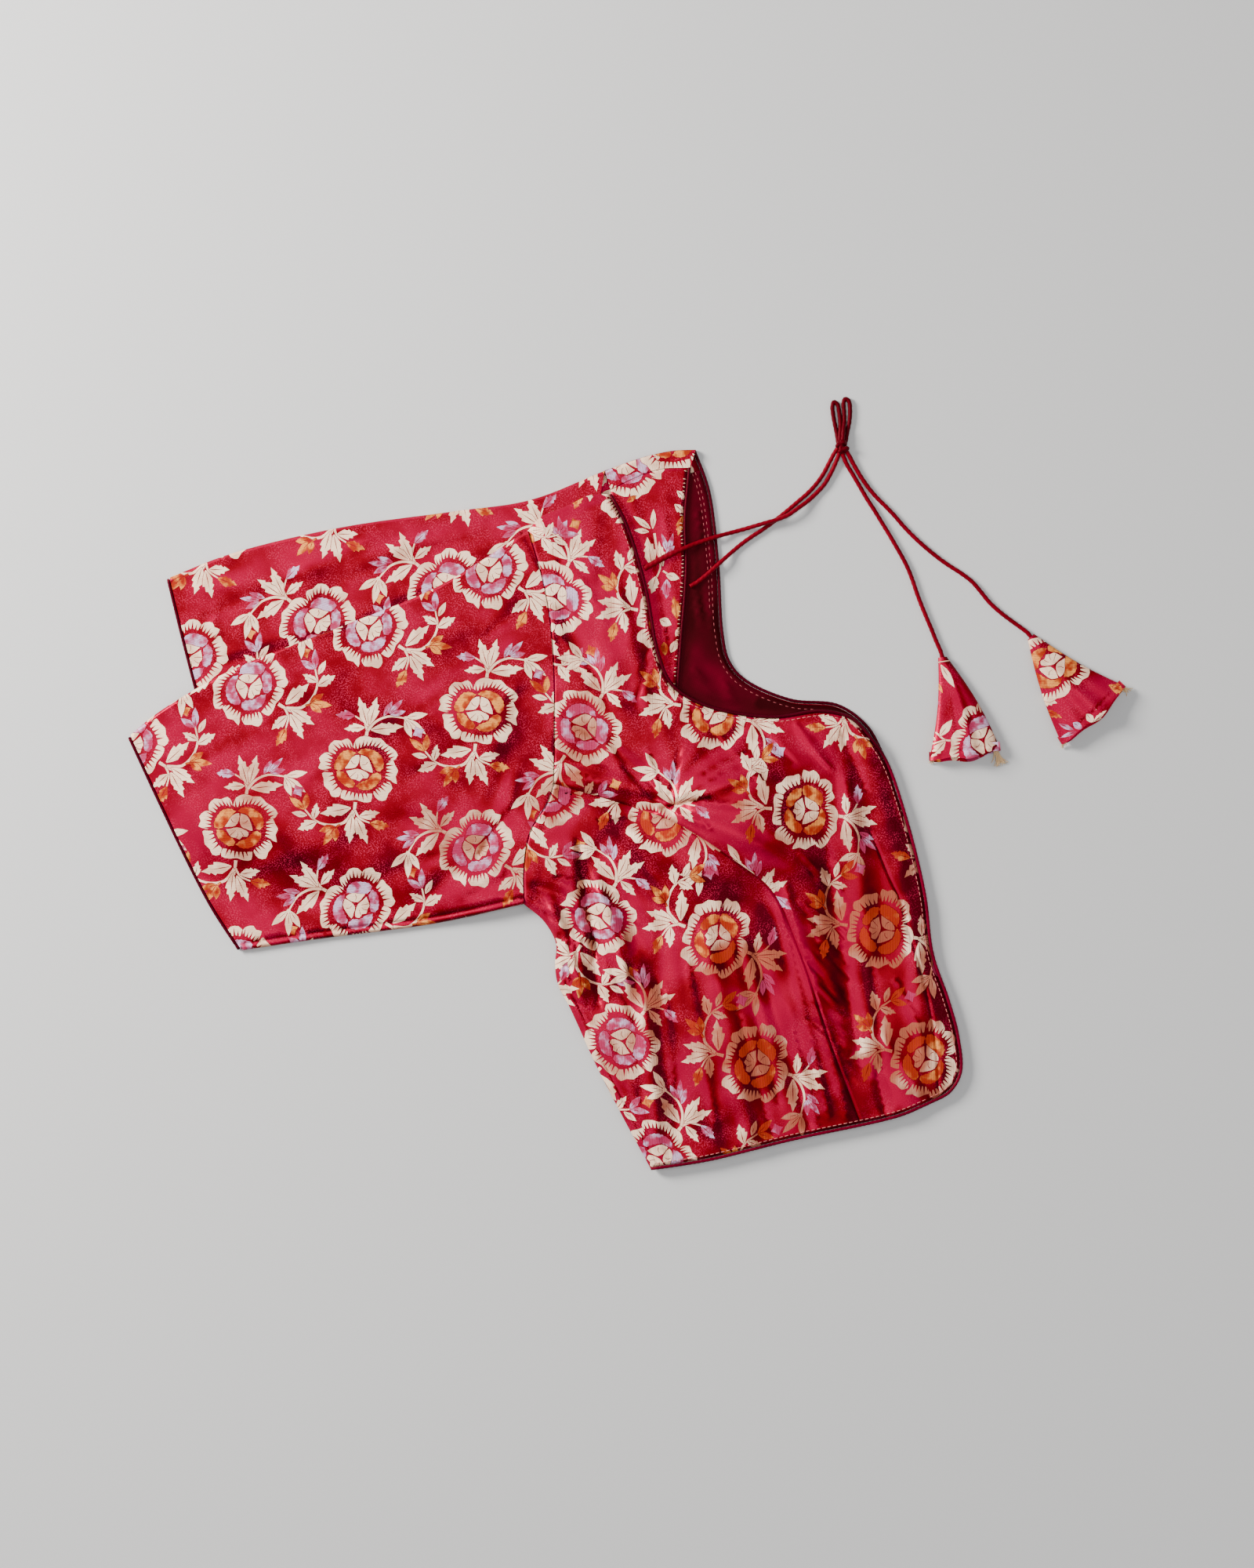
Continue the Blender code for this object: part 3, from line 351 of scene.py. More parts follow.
rose = {
    # outer petals: points along the outer edge, then along the inner edge, which carries the comb
    "petals": [
        ([(-4.4, 12.0), (-3.2, 16.4), (1.4, 18.9), (6.0, 18.2), (10.4, 18.6), (14.0, 15.6), (17.6, 14.0),
          (21.2, 10.4)],
         [(18.4, 6.6), (14.6, 11.0), (8.8, 13.6), (2.4, 13.4), (-2.6, 10.8)]),
        ([(-17.4, 6.6), (-18.2, 10.4), (-15.4, 14.2), (-11.6, 14.4), (-8.2, 16.2), (-5.4, 13.6)],
         [(-5.2, 10.8), (-9.4, 11.4), (-12.8, 9.6), (-14.2, 6.0)]),
        ([(-18.2, -3.2), (-22.6, -2.4), (-21.6, 0.8), (-22.8, 3.2), (-20.2, 6.4), (-17.8, 7.0)],
         [(-15.2, 5.0), (-16.0, 1.2), (-15.4, -2.2)]),
        ([(-8.0, -13.0), (-9.0, -17.0), (-13.0, -17.4), (-14.8, -14.4), (-18.0, -12.0), (-18.8, -8.0),
          (-20.0, -5.0), (-17.6, -3.8)],
         [(-14.6, -3.4), (-12.8, -7.4), (-10.2, -11.2)]),
        ([(9.4, -13.0), (9.2, -17.6), (5.0, -18.4), (1.0, -17.6), (-3.0, -18.4), (-7.8, -17.6),
          (-7.4, -13.2)],
         [(-4.4, -13.2), (0.8, -14.0), (6.0, -13.4)]),
        ([(18.6, -5.4), (20.4, -8.6), (18.4, -12.0), (17.4, -15.8), (13.4, -16.2), (10.2, -13.0)],
         [(10.6, -10.8), (13.6, -8.8), (15.6, -5.6)]),
        ([(18.8, 7.4), (20.4, 4.4), (22.4, 1.6), (21.4, -1.8), (22.6, -5.8), (18.8, -4.6)],
         [(15.8, -3.8), (16.0, 0.8), (15.4, 5.4)]),
    ],
    # inner petals
    "ring": [
        [(-1.6, 9.4), (1.2, 12.0), (6.2, 12.2), (11.0, 10.4), (14.2, 6.6), (14.4, 1.8), (12.0, -0.2),
         (9.6, 2.4), (7.8, 5.2), (4.8, 8.2)],
        [(-2.8, 9.2), (-6.4, 10.2), (-10.6, 9.0), (-13.2, 5.0), (-14.8, 0.4), (-13.8, -2.0), (-9.8, -1.8),
         (-7.4, 1.2), (-5.4, 5.2)],
        [(-12.6, -3.4), (-11.8, -7.2), (-8.6, -9.8), (-4.6, -11.8), (-1.2, -10.8), (-1.8, -8.0),
         (-5.6, -6.2), (-8.2, -3.2)],
        [(-0.2, -10.6), (3.6, -12.2), (8.4, -11.4), (12.2, -8.0), (14.2, -3.4), (12.2, -1.2), (8.8, -2.4),
         (6.8, -5.8), (2.6, -8.0)],
    ],
    "heart": [
        # two lobes and a low cloud below them
        [(-8.2, -0.8), (-6.4, 2.6), (-4.6, 6.4), (-0.6, 8.4), (-0.2, 4.0), (-1.8, 0.6), (-5.0, -0.4)],
        [(0.6, 8.4), (4.6, 7.4), (7.0, 3.8), (8.8, -1.2), (5.2, -0.6), (2.0, 0.4), (0.4, 3.8)],
        [(-7.2, -2.2), (-4.2, -1.4), (-0.6, -0.2), (3.0, -0.8), (6.6, -2.6), (6.0, -5.2), (3.2, -5.4),
         (1.6, -7.4), (-1.0, -6.6), (-3.4, -6.6), (-5.4, -4.6)],
    ],
    # fine lines of ground in the heart
    "heartLines": [
        [(-4.6, 4.0), (-3.4, 2.6), (-1.6, 2.2)], [(4.8, 4.4), (3.6, 2.8), (1.8, 2.4)],
        [(-4.0, -5.2), (-2.6, -3.6), (-1.2, -2.0)], [(3.6, -4.6), (2.8, -3.4), (1.6, -2.2)],
        [(-0.4, -6.2), (0.2, -4.6), (0.0, -3.0)],
    ],
    "heartLine": 0.42,           # their width
    "toothStep": 2.0,
    "toothLength": 4.6,
    "toothWidth": 0.74,          # half the width of a tooth at its root
    "ringSize": 0.94,
    "heartSize": 0.93,
    "serration": (1.2, 0.36),    # step and depth of the inner petals' ragged edge
    "outline": 0.28,             # ground threads round each figure
}
# leaves: base x, y, tip x, y, width, dye, notched
fanLeaves = [
    (2.2, 24.5, -4.8, 40.4, 6.4, "cream", 1), (3.3, 25.5, 5.4, 41.6, 6.2, "cream", 1),
    (0.6, 23.6, -11.0, 21.4, 5.2, "cream", 1), (-5.8, 29.4, -16.6, 28.8, 5.6, "lilac", 1),
    (4.4, 22.6, 22.4, 26.8, 7.2, "cream", 1), (10.6, 31.6, 14.2, 40.2, 3.6, "lilac", 0),
    (13.4, 33.2, 20.0, 42.0, 3.4, "lilac", 0), (14.2, 32.6, 22.4, 35.6, 3.6, "lilac", 0),
    (23.4, 32.2, 35.0, 35.6, 4.4, "cream", 0), (23.6, 31.2, 35.4, 24.2, 4.4, "cream", 0),
    (22.6, 30.6, 27.6, 21.2, 4.2, "cream", 0),
]
fanStems = [
    # points, width at both ends, dye
    ([(2.2, 18.6), (2.4, 22.6), (3.2, 26.0)], 1.9, 1.2, "cream"),
    ([(2.3, 22.0), (0.2, 26.2), (-6.2, 29.6)], 1.3, 0.7, "cream"),
    ([(2.6, 22.0), (6.2, 27.4), (13.0, 31.4), (22.4, 31.6)], 1.6, 0.8, "cream"),
]
sprayLeaves = [
    (-0.4, -26.6, 0.0, -42.6, 6.6, "cream", 1), (2.0, -27.6, 10.2, -41.6, 6.6, "cream", 1),
    (3.8, -26.6, 15.0, -23.2, 6.0, "cream", 1), (10.2, -29.8, 21.6, -30.4, 6.0, "gold", 1),
    (-1.6, -22.6, -18.4, -27.8, 7.6, "cream", 1), (-21.6, -31.6, -20.8, -22.0, 4.8, "cream", 1),
    (-19.8, -32.8, -30.0, -38.2, 6.4, "cream", 1), (-25.6, -29.8, -34.4, -29.2, 3.6, "cream", 0),
    (-9.2, -34.2, -17.6, -37.8, 4.4, "gold", 0), (-9.4, -34.8, -14.4, -45.4, 4.4, "gold", 0),
    (-8.4, -34.6, -8.0, -42.4, 4.2, "gold", 0), (-27.4, -26.6, -36.8, -20.6, 4.2, "end", 0),
    (-27.0, -26.2, -27.2, -17.0, 4.2, "end", 0),
]
sprayStems = [
    ([(0.6, -19.0), (0.6, -23.6), (0.4, -27.4)], 1.9, 1.2, "cream"),
    ([(0.8, -23.4), (4.0, -27.6), (10.6, -29.8)], 1.3, 0.7, "cream"),
    ([(0.2, -24.0), (-4.4, -31.2), (-12.0, -33.6), (-20.4, -32.2), (-27.4, -26.4)], 1.8, 0.8, "cream"),
    ([(-6.6, -32.6), (-8.6, -34.6)], 0.8, 0.7, "gold"),
]
starPlace = (-32.2, -16.6, 3.9)
dyes = ["ground", "cream", "lilac", "gold", "outline"]


def leafAxes(x0, y0, x1, y1):
    along = np.array([x1 - x0, y1 - y0])
    return np.array([x0, y0]), along, np.array([-along[1], along[0]]) / np.linalg.norm(along)


def leafShape(x0, y0, x1, y1, width, notched):
    start, along, across = leafAxes(x0, y0, x1, y1)
    if notched:
        left = [
            (0.0, 0.05), (0.18, 0.28), (0.38, 0.46), (0.54, 0.54), (0.56, 0.34), (0.74, 0.38),
            (0.76, 0.18), (1.0, 0.0),
        ]
        right = [
            (0.86, 0.17), (0.75, 0.32), (0.7, 0.2), (0.56, 0.46), (0.5, 0.34), (0.34, 0.44),
            (0.16, 0.26), (0.0, 0.05),
        ]
    else:
        left = [(0.0, 0.06), (0.22, 0.36), (0.46, 0.5), (0.74, 0.34), (1.0, 0.0)]
        right = [(0.76, 0.3), (0.48, 0.48), (0.24, 0.38), (0.0, 0.06)]
    points = [start + along * t - across * width * w for t, w in left]
    points += [start + along * t + across * width * w for t, w in right]
    return np.array(points)


def veinShape(x0, y0, x1, y1, width, notched):
    start, along, across = leafAxes(x0, y0, x1, y1)
    reach = 0.72 if notched else 0.52
    half = 0.26 if notched else 0.18
    places = [(0.06, 0.4), (0.3, 1.0), (0.45, 0.7), (reach, 0.1), (0.45, -0.7), (0.3, -1.0), (0.06, -0.4)]
    return np.array([start + along * t - across * half * w for t, w in places])


def strokeShape(points, widthStart, widthEnd):
    path = atShares(splineThrough(points, 6), np.linspace(0, 1, 3 + 2 * len(points)))
    half = np.linspace(widthStart, widthEnd, len(path)) / 2
    side = rightOf(unit(np.gradient(path, axis=0))) * half[:, None]
    return np.vstack([path + side, (path - side)[::-1]])


def petalShape(points):
    # a closed smooth outline through these points
    ring = np.vstack([points, points[:1]]).astype(float)
    return splineThrough(ring, 2)[:-1]


def combTeeth(inner):
    # wedges of ground that run outward from a petal's inner edge
    path = byStep(splineThrough(inner, 6), rose["toothStep"])
    teeth = []
    for k, spot in enumerate(path):
        outward = spot / np.linalg.norm(spot)
        across = np.array([-outward[1], outward[0]]) * rose["toothWidth"]
        length = rose["toothLength"] * (1.0, 0.66, 0.88, 0.72)[k % 4]
        root = spot - outward * 0.8
        teeth.append(np.array([root - across, spot + outward * length, root + across]))
    return teeth


def disc(x, y, radius, count=16):
    angle = np.linspace(0, 2 * math.pi, count, endpoint=False)
    return np.stack([x + radius * np.cos(angle), y + radius * np.sin(angle)], axis=1)


def grown(shape, by):
    # the same shape with its edge moved outward
    shape = leftTurning(shape)
    outward = rightOf(unit(np.roll(shape, -1, axis=0) - shape))
    corner = outward + np.roll(outward, 1, axis=0)
    length = np.maximum(np.linalg.norm(corner, axis=1), 0.8)[:, None]
    return shape + corner / length * by


def serrated(shape):
    # a ragged edge, because the threads end one by one
    step, depth = rose["serration"]
    shape = leftTurning(shape)
    ring = byStep(np.vstack([shape, shape[:1]]), step)[:-1]
    ring[::2] = grown(ring, depth)[::2]
    return ring


def repeatShapes(swapped):
    # sprays and bloom of one repeat; later shapes lie over earlier ones
    ringDye, endDye, starDye = ("lilac", "lilac", "gold") if swapped else ("gold", "gold", "lilac")
    shapes = []

    def add(points, dye, around="ground"):
        if around:
            shapes.append((grown(points, rose["outline"]), around))
        shapes.append((points, dye))

    for points, widthStart, widthEnd, dye in fanStems + sprayStems:
        add(strokeShape(points, widthStart, widthEnd), dye)
    for x0, y0, x1, y1, width, dye, notched in fanLeaves + sprayLeaves:
        dye = endDye if dye == "end" else dye
        add(leafShape(x0, y0, x1, y1, width, notched), dye)
        add(veinShape(x0, y0, x1, y1, width, notched), "outline", None)
    add(disc(23.0, 31.6, 1.2, 8), "cream", None)
    x, y, reach = starPlace
    star = []
    for angle in range(35, 395, 45):
        radius = reach * (0.95 if (angle - 35) % 90 == 0 else 0.55)
        c, s = cosSin(angle)
        star.append((x + radius * c, y + radius * s))
    add(np.array(star), starDye)
    sprays = len(shapes)
    for outer, inner in rose["petals"]:
        add(petalShape(outer + inner), "cream")
        for tooth in combTeeth(inner):
            add(tooth, "ground", None)
    for petal in rose["ring"]:
        add(serrated(petalShape(petal) * rose["ringSize"]), ringDye, "outline")
    for petal in rose["heart"]:
        add(petalShape(petal) * rose["heartSize"], "cream", "outline")
    for points in rose["heartLines"]:
        add(strokeShape(points, rose["heartLine"], 0.2), "outline", None)
    return shapes, shapes[sprays:]


roseShapes = {False: repeatShapes(False), True: repeatShapes(True)}


def placedShapes(places, bloomOnly=False):
    # each place: x, y, turn of the rose's fan in degrees, True for the mirrored repeat in the other colours
    placed = []
    for x, y, turn, mirrored in places:
        c, s = cosSin(turn - 90)
        spin = np.array([[c, s], [-s, c]])
        for shape, dye in roseShapes[mirrored][bloomOnly]:
            points = shape * np.array([-1, 1]) if mirrored else shape
            placed.append((points @ spin + np.array([x, y]), dyes.index(dye)))
    return placed


weave = {
    "period": 75.5,              # from rose to rose along a row
    "pitch": 69.0,               # from row to row
    "offset": 0.54,              # share of the period that every other row is moved by
    "axis": 57.0,                # the fan's direction from the row's
}


def latticePlaces(x, y, turn, low, high):
    # the whole repeat laid over a box, with one rose at x, y and its row in direction turn
    c, s = cosSin(turn)
    places = []
    for row in range(-9, 10):
        for column in range(-9, 10):
            u = (column + weave["offset"] * (row % 2)) * weave["period"]
            v = row * weave["pitch"]
            px, py = x + u * c - v * s, y + u * s + v * c
            inside = low[0] - 45 < px < high[0] + 45 and low[1] - 45 < py < high[1] + 45
            if inside:
                mirrored = row % 2 == 1
                lean = 180 - weave["axis"] if mirrored else weave["axis"]
                places.append((px, py, turn + lean, mirrored))
    return places


# cloth skins

def tiled(outline, shapes, pitch, insets, rows=()):
    # triangles that fill an outline, split along every woven shape
    low, high = outline.min(axis=0), outline.max(axis=0)
    loops = [leftTurning(outline)]
    dyeOf = [0]
    for points, dye in shapes:
        if (points.max(axis=0) < low).any() or (points.min(axis=0) > high).any():
            continue
        loops.append(leftTurning(points))
        dyeOf.append(dye)
    coords, faces = [], []
    for loop in loops:
        faces.append(list(range(len(coords), len(coords) + len(loop))))
        coords += [tuple(p) for p in loop]
    loose = []
    smooth = byStep(np.vstack([loops[0], loops[0][:1]]), 2.6)[:-1]
    outward = rightOf(unit(np.roll(smooth, -1, axis=0) - np.roll(smooth, 1, axis=0)))
    for inset in insets:
        row = smooth - outward * inset
        loose.append(row[edgeDistance(row, loops[0]) > inset * 0.9])
    for seam in rows:
        for offset in (-2.0, -1.1, -0.4, 0.4, 1.1, 2.0):
            row = movedRight(byStep(seam, 1.8), offset)
            loose.append(row[edgeDistance(row, loops[0]) > insets[0]])
    xs = np.arange(low[0], high[0], pitch)
    ys = np.arange(low[1], high[1], pitch * 0.87)
    grid = np.stack(np.meshgrid(xs, ys, indexing="ij"), axis=-1)
    grid[:, ::2, 0] += pitch / 2
    grid = grid.reshape(-1, 2)
    loose.append(grid[edgeDistance(grid, loops[0]) > insets[-1] + pitch * 0.4])
    coords += [tuple(p) for p in np.vstack(loose)]
    vectors = [Vector(c) for c in coords]
    points, _, triangles, _, _, origins = delaunay_2d_cdt(vectors, [], faces, 1, 1e-4)
    kept, dye = [], []
    for triangle, origin in zip(triangles, origins):
        if 0 in origin:
            kept.append(triangle)
            dye.append(dyeOf[max(origin)])
    points = np.array([tuple(p) for p in points])
    used = sorted({i for triangle in kept for i in triangle})
    number = {old: new for new, old in enumerate(used)}
    kept = [[number[i] for i in triangle] for triangle in kept]
    return points[used], kept, dye


def weaveOf(points, turn):
    c, s = cosSin(turn)
    return np.stack([points[:, 0] * c + points[:, 1] * s, -points[:, 0] * s + points[:, 1] * c], axis=1)


def skin(outline, height, shapes, grain, pitch=2.6, insets=(0.3, 0.8, 1.4, 2.0), side=1, rows=()):
    # one layer of cloth at height(points): places, normals, triangles, dyes and weave
    points, triangles, dye = tiled(outline, shapes, pitch, insets, rows)
    nudge = 0.05
    stepX, stepY = np.array([nudge, 0.0]), np.array([0.0, nudge])
    away = edgeDistance(points, outline)
    inward = np.stack(
        [edgeDistance(points + stepX, outline) - away, edgeDistance(points + stepY, outline) - away], axis=1
    ) / nudge
    spots = points + inward * np.clip(0.2 - away, 0, 0.2)[:, None]
    base = height(spots)
    slopes = np.stack([height(spots + stepX) - base, height(spots + stepY) - base], axis=1) / nudge
    normals = np.column_stack([-slopes, np.ones(len(points))])
    normals *= side / np.linalg.norm(normals, axis=1)[:, None]
    if side < 0:
        triangles = [triangle[::-1] for triangle in triangles]
    return np.column_stack([points, height(points)]), normals, triangles, dye, weaveOf(points, grain)


def merged(first, second):
    count = len(first[0])
    triangles = first[2] + [[i + count for i in triangle] for triangle in second[2]]
    return (
        np.vstack([first[0], second[0]]), np.vstack([first[1], second[1]]), triangles,
        first[3] + second[3], np.vstack([first[4], second[4]]),
    )


def turnedEdge(cloth, along=None, depth=0.7, reach=3.0, rimDye=None):
    # the rim goes down the cloth's thickness and then inward, as a turned hem does
    points, normals, triangles, dye, weaveMap = cloth
    edges = {}
    for number, (a, b, c) in enumerate(triangles):
        for first, second, third in ((a, b, c), (b, c, a), (c, a, b)):
            key = (min(first, second), max(first, second))
            edges[key] = None if key in edges else (first, second, third, number)
    rim = [found for found in edges.values() if found]
    if along is not None:
        near = edgeDistance(points, along, closed=False) < 0.03
        rim = [found for found in rim if near[found[0]] and near[found[1]]]
    inward, up = {}, {}
    for first, second, third, _ in rim:
        edge = points[second, :2] - points[first, :2]
        across = np.array([-edge[1], edge[0]]) / max(np.linalg.norm(edge), 1e-9)
        facing = 1.0 if (points[third, :2] - points[first, :2]) @ across > 0 else -1.0
        for corner in (first, second):
            inward[corner] = inward.get(corner, 0) + across * facing
            up[corner] = facing
    border = sorted(inward)
    order = {corner: k for k, corner in enumerate(border)}
    lean = unit(np.array([inward[corner] for corner in border]))
    facing = np.array([up[corner] for corner in border])
    down = points[border].copy()
    down[:, 2] -= depth * facing
    under = down.copy()
    under[:, :2] += lean * reach
    downNormals = unit(np.column_stack([-lean, -0.7 * facing]))
    underNormals = np.column_stack([np.zeros((len(border), 2)), -facing])
    triangles, dye = list(triangles), list(dye)
    count = len(points)
    for a, b, _, number in rim:
        a1, b1 = count + order[a], count + order[b]
        a2, b2 = a1 + len(border), b1 + len(border)
        triangles += [[b, a, a1], [b, a1, b1], [b1, a1, a2], [b1, a2, b2]]
        dye += [dye[number] if rimDye is None else rimDye] * 4
    return (
        np.vstack([points, down, under]), np.vstack([normals, downNormals, underNormals]), triangles, dye,
        np.vstack([weaveMap, weaveMap[border], weaveMap[border]]),
    )


pixel = {
    "size": 0.444,               # mm
    "turn": 12.5,                # the blouse lies turned by this many degrees
    "corner": (-191.8, 530.1),   # place of the picture's upper left corner
}


def fromPixel(px, py):
    # a place read from the photograph
    c, s = cosSin(pixel["turn"])
    x, y = pixel["corner"]
    return (px * c - py * s) * pixel["size"] + x, (-px * s - py * c) * pixel["size"] + y


def pixelBands(rows):
    # pixel x, y to x, y, half width in mm, change
    return [(*fromPixel(*row[:2]), *fromPixel(*row[2:4]), *row[4:]) for row in rows]


def pixelSprigs(leaves, stems=()):
    # single leaves: pixel of base and tip, width in mm, dye, notched; stems: pixels, width in mm
    shapes = []
    for pixels, width in stems:
        stem = strokeShape([fromPixel(*pixel) for pixel in pixels], width, width * 0.7)
        shapes += [(grown(stem, rose["outline"]), 0), (stem, 1)]
    for x0, y0, x1, y1, width, dye, notched in leaves:
        ends = (*fromPixel(x0, y0), *fromPixel(x1, y1))
        leaf = leafShape(*ends, width, notched)
        shapes += [(grown(leaf, rose["outline"]), 0), (leaf, dyes.index(dye))]
        shapes.append((veinShape(*ends, width, notched), dyes.index("outline")))
    return shapes


# painted light on the satin: listed bands and the slope towards the light make the ground and the figures
# brighter or darker, as painted highlight and painted shade
satin = {
    "lightFrom": (-0.80, 0.60),  # the side that the brighter slopes face, for painted highlight and painted shade
    "slopeShare": 1.6,
    "slopeLimit": 0.34,
    "level": 0.46,               # painted brightness of flat ground
    "figureLevel": 1.02,         # and of flat figures
    "figureSlopeShare": 0.8,
    # bands of painted highlight and painted shade on the satin ground and the lining, among them the near
    # sleeve's shadow on the far sleeve and shade along the armhole seam
    "paintedSheenBands": pixelBands([
        (740, 700, 780, 800, 12, 0.45), (800, 700, 830, 830, 5, 0.25), (770, 840, 812, 890, 9, 0.35),
        (700, 860, 722, 960, 5, 0.20), (735, 1040, 700, 1090, 7, 0.30), (842, 880, 860, 960, 5, -0.30),
        (764, 880, 800, 900, 6, -0.20), (876, 1032, 965, 1062, 8, 0.55), (935, 1075, 990, 1100, 6, 0.45),
        (778, 1040, 850, 1140, 10, -0.42), (850, 1100, 975, 1175, 12, -0.26),
        (796, 1120, 806, 1215, 6, 0.55), (760, 1080, 742, 1120, 6, -0.35),
        (720, 1130, 728, 1170, 5, 0.30), (988, 1150, 1034, 1250, 6, 0.60),
        (955, 1280, 1010, 1320, 10, 0.60), (1065, 1300, 1100, 1350, 7, 0.40),
        (1128, 1372, 1160, 1400, 10, 0.60), (1060, 1395, 1010, 1440, 8, 0.28),
        (896, 1250, 860, 1320, 13, -0.38), (975, 1165, 1000, 1230, 5, -0.35),
        (1050, 1095, 1110, 1150, 10, -0.20), (1135, 1040, 1165, 1150, 9, -0.38),
        (1015, 1178, 1030, 1228, 7, 0.50), (1100, 1215, 1112, 1275, 5, -0.60),
        (1080, 1190, 1092, 1290, 6, 0.25), (1178, 1200, 1205, 1300, 8, -0.40),
        (1020, 930, 1060, 990, 10, 0.30), (1000, 1000, 960, 960, 8, -0.25),
        (850, 1400, 900, 1440, 10, -0.32), (800, 1240, 770, 1280, 8, -0.25),
        (745, 1260, 770, 1330, 6, 0.30), (840, 1340, 880, 1370, 9, 0.32),
        (1090, 1425, 1040, 1380, 7, -0.30), (1222, 1330, 1205, 1395, 6, -0.30),
        (880, 1180, 862, 1110, 5, -0.2), (900, 1000, 960, 1000, 6, 0.3),
        (560, 1000, 640, 1140, 16, 0.28), (240, 1120, 330, 1180, 16, 0.24),
        (300, 960, 380, 990, 12, 0.18), (400, 890, 560, 930, 9, -0.26),
        (330, 1060, 440, 1130, 10, -0.20), (480, 960, 560, 990, 8, -0.18), (640, 830, 600, 880, 8, 0.24),
        (300, 740, 420, 700, 9, 0.26), (520, 690, 640, 670, 7, 0.20), (1215, 880, 1232, 930, 4, 0.40),
        (1200, 960, 1210, 900, 3, -0.25), (1375, 890, 1420, 870, 7, 0.45),
        (1345, 820, 1400, 850, 3, -0.25), (1222, 864, 1256, 918, 5, 0.42),
        (744, 1090, 754, 1205, 3.2, -0.60), (724, 1085, 736, 1190, 3.6, 0.40),
        (712, 1190, 724, 1240, 2, -0.50), (728, 1200, 738, 1245, 2, 0.40), (904, 590, 916, 750, 6, 0.50),
        (893, 690, 878, 840, 4, -0.40), (900, 850, 925, 884, 9, 0.45), (980, 898, 1060, 906, 6, -0.45),
        (905, 790, 930, 850, 3, -0.30), (285, 842, 440, 798, 3.4, -0.60),
        (440, 800, 560, 742, 1.8, -0.45), (664, 678, 690, 730, 1.6, -0.45),
        (711, 690, 709, 860, 1.4, -0.55), (709, 880, 706, 970, 1.4, -0.50),
        (706, 990, 690, 1060, 1.4, -0.40), (672, 1165, 690, 1100, 2.0, -0.35),
        (1190, 1120, 1212, 1290, 2.4, -0.50), (1120, 950, 1160, 1040, 2.4, -0.35),
    ]),
    # bands of painted shade on the woven figures, and a few of painted highlight
    "paintedShade": pixelBands([
        (1010, 1150, 1070, 1330, 60, -0.16), (746, 929, 740, 960, 22, -0.60),
        (715, 1010, 750, 1000, 10, -0.35), (834, 1050, 885, 1064, 17, -0.62),
        (935, 1020, 962, 1062, 14, -0.62), (918, 1232, 950, 1226, 14, -0.62),
        (985, 1240, 1000, 1236, 20, -0.90), (1045, 1260, 1070, 1270, 16, -0.80),
        (1060, 1196, 1100, 1160, 26, -0.85), (1130, 1190, 1118, 1160, 26, -0.75),
        (1164, 1212, 1158, 1186, 7, 0.75), (966, 1366, 960, 1340, 36, -0.85),
        (905, 1350, 900, 1310, 18, -0.45), (790, 1345, 805, 1320, 28, -0.42),
        (822, 1230, 838, 1280, 15, -0.42), (1176, 1360, 1160, 1310, 28, -0.72),
        (1190, 1352, 1194, 1334, 7, 0.45), (1214, 1366, 1208, 1330, 6, 0.60),
        (1130, 1360, 1096, 1400, 18, -0.60), (1070, 1430, 1040, 1434, 12, -0.50),
        (848, 1408, 862, 1400, 11, -0.45), (612, 1085, 570, 1062, 24, -0.48),
        (312, 1050, 322, 1010, 20, -0.42), (1190, 1200, 1200, 1260, 10, -0.35),
        (860, 950, 900, 940, 9, -0.20), (690, 1012, 704, 1044, 9, -0.35),
        (1090, 930, 1100, 880, 8, -0.20), (560, 880, 585, 850, 10, -0.25),
    ]),
}


def paintedSheenOf(points, normals):
    # painted sheen of the satin ground at each place, from 0 for painted shade to 1 for painted highlight,
    # from the listed bands and from the slope towards the light
    paintedSheen = satin["level"] + creased(points[:, :2], satin["paintedSheenBands"]) * (normals[:, 2] > 0)
    slope = (normals[:, :2] @ np.array(satin["lightFrom"])) * satin["slopeShare"]
    return np.clip(paintedSheen + np.clip(slope, -satin["slopeLimit"], satin["slopeLimit"]), 0, 1)


def paintedFigureLightOf(points, normals):
    # painted light and painted shade on the woven figures, from 0 to 1, from the listed bands and from the
    # slope towards the light
    weftAndPaintedLight = satin["figureLevel"] + creased(points[:, :2], satin["paintedShade"]) * (normals[:, 2] > 0)
    weftAndPaintedLight += (normals[:, :2] @ np.array(satin["lightFrom"])) * satin["figureSlopeShare"]
    return np.clip(weftAndPaintedLight, 0, 1)


def clothMesh(name, cloth, material):
    # mesh with its own normals, thread numbers on its faces, painted sheen and painted figure light on its
    # points and the weave as a UV map
    points, normals, triangles, dye, weaveMap = cloth
    mesh = bpy.data.meshes.new(name)
    mesh.from_pydata([tuple(p) for p in points * mm], [], triangles)
    mesh.materials.append(material)
    thread = mesh.attributes.new("thread", "FLOAT", "FACE")
    thread.data.foreach_set("value", np.array(dye, np.float32) / (len(dyes) - 1))
    for attribute, values in (("paintedSheen", paintedSheenOf(points, normals)), ("weftAndPaintedLight", paintedFigureLightOf(points, normals))):
        made = mesh.attributes.new(attribute, "FLOAT", "POINT")
        made.data.foreach_set("value", values.astype(np.float32))
    loops = np.zeros(len(mesh.loops), np.int32)
    mesh.loops.foreach_get("vertex_index", loops)
    layer = mesh.uv_layers.new(name="weave")
    layer.data.foreach_set("uv", weaveMap[loops].astype(np.float32).ravel())
    mesh.shade_smooth()
    mesh.normals_split_custom_set_from_vertices([tuple(n) for n in normals])
    return linked(name, mesh)


edgeRoll = {"width": 1.9, "drop": 1.0}      # cloth edges roll down over this width


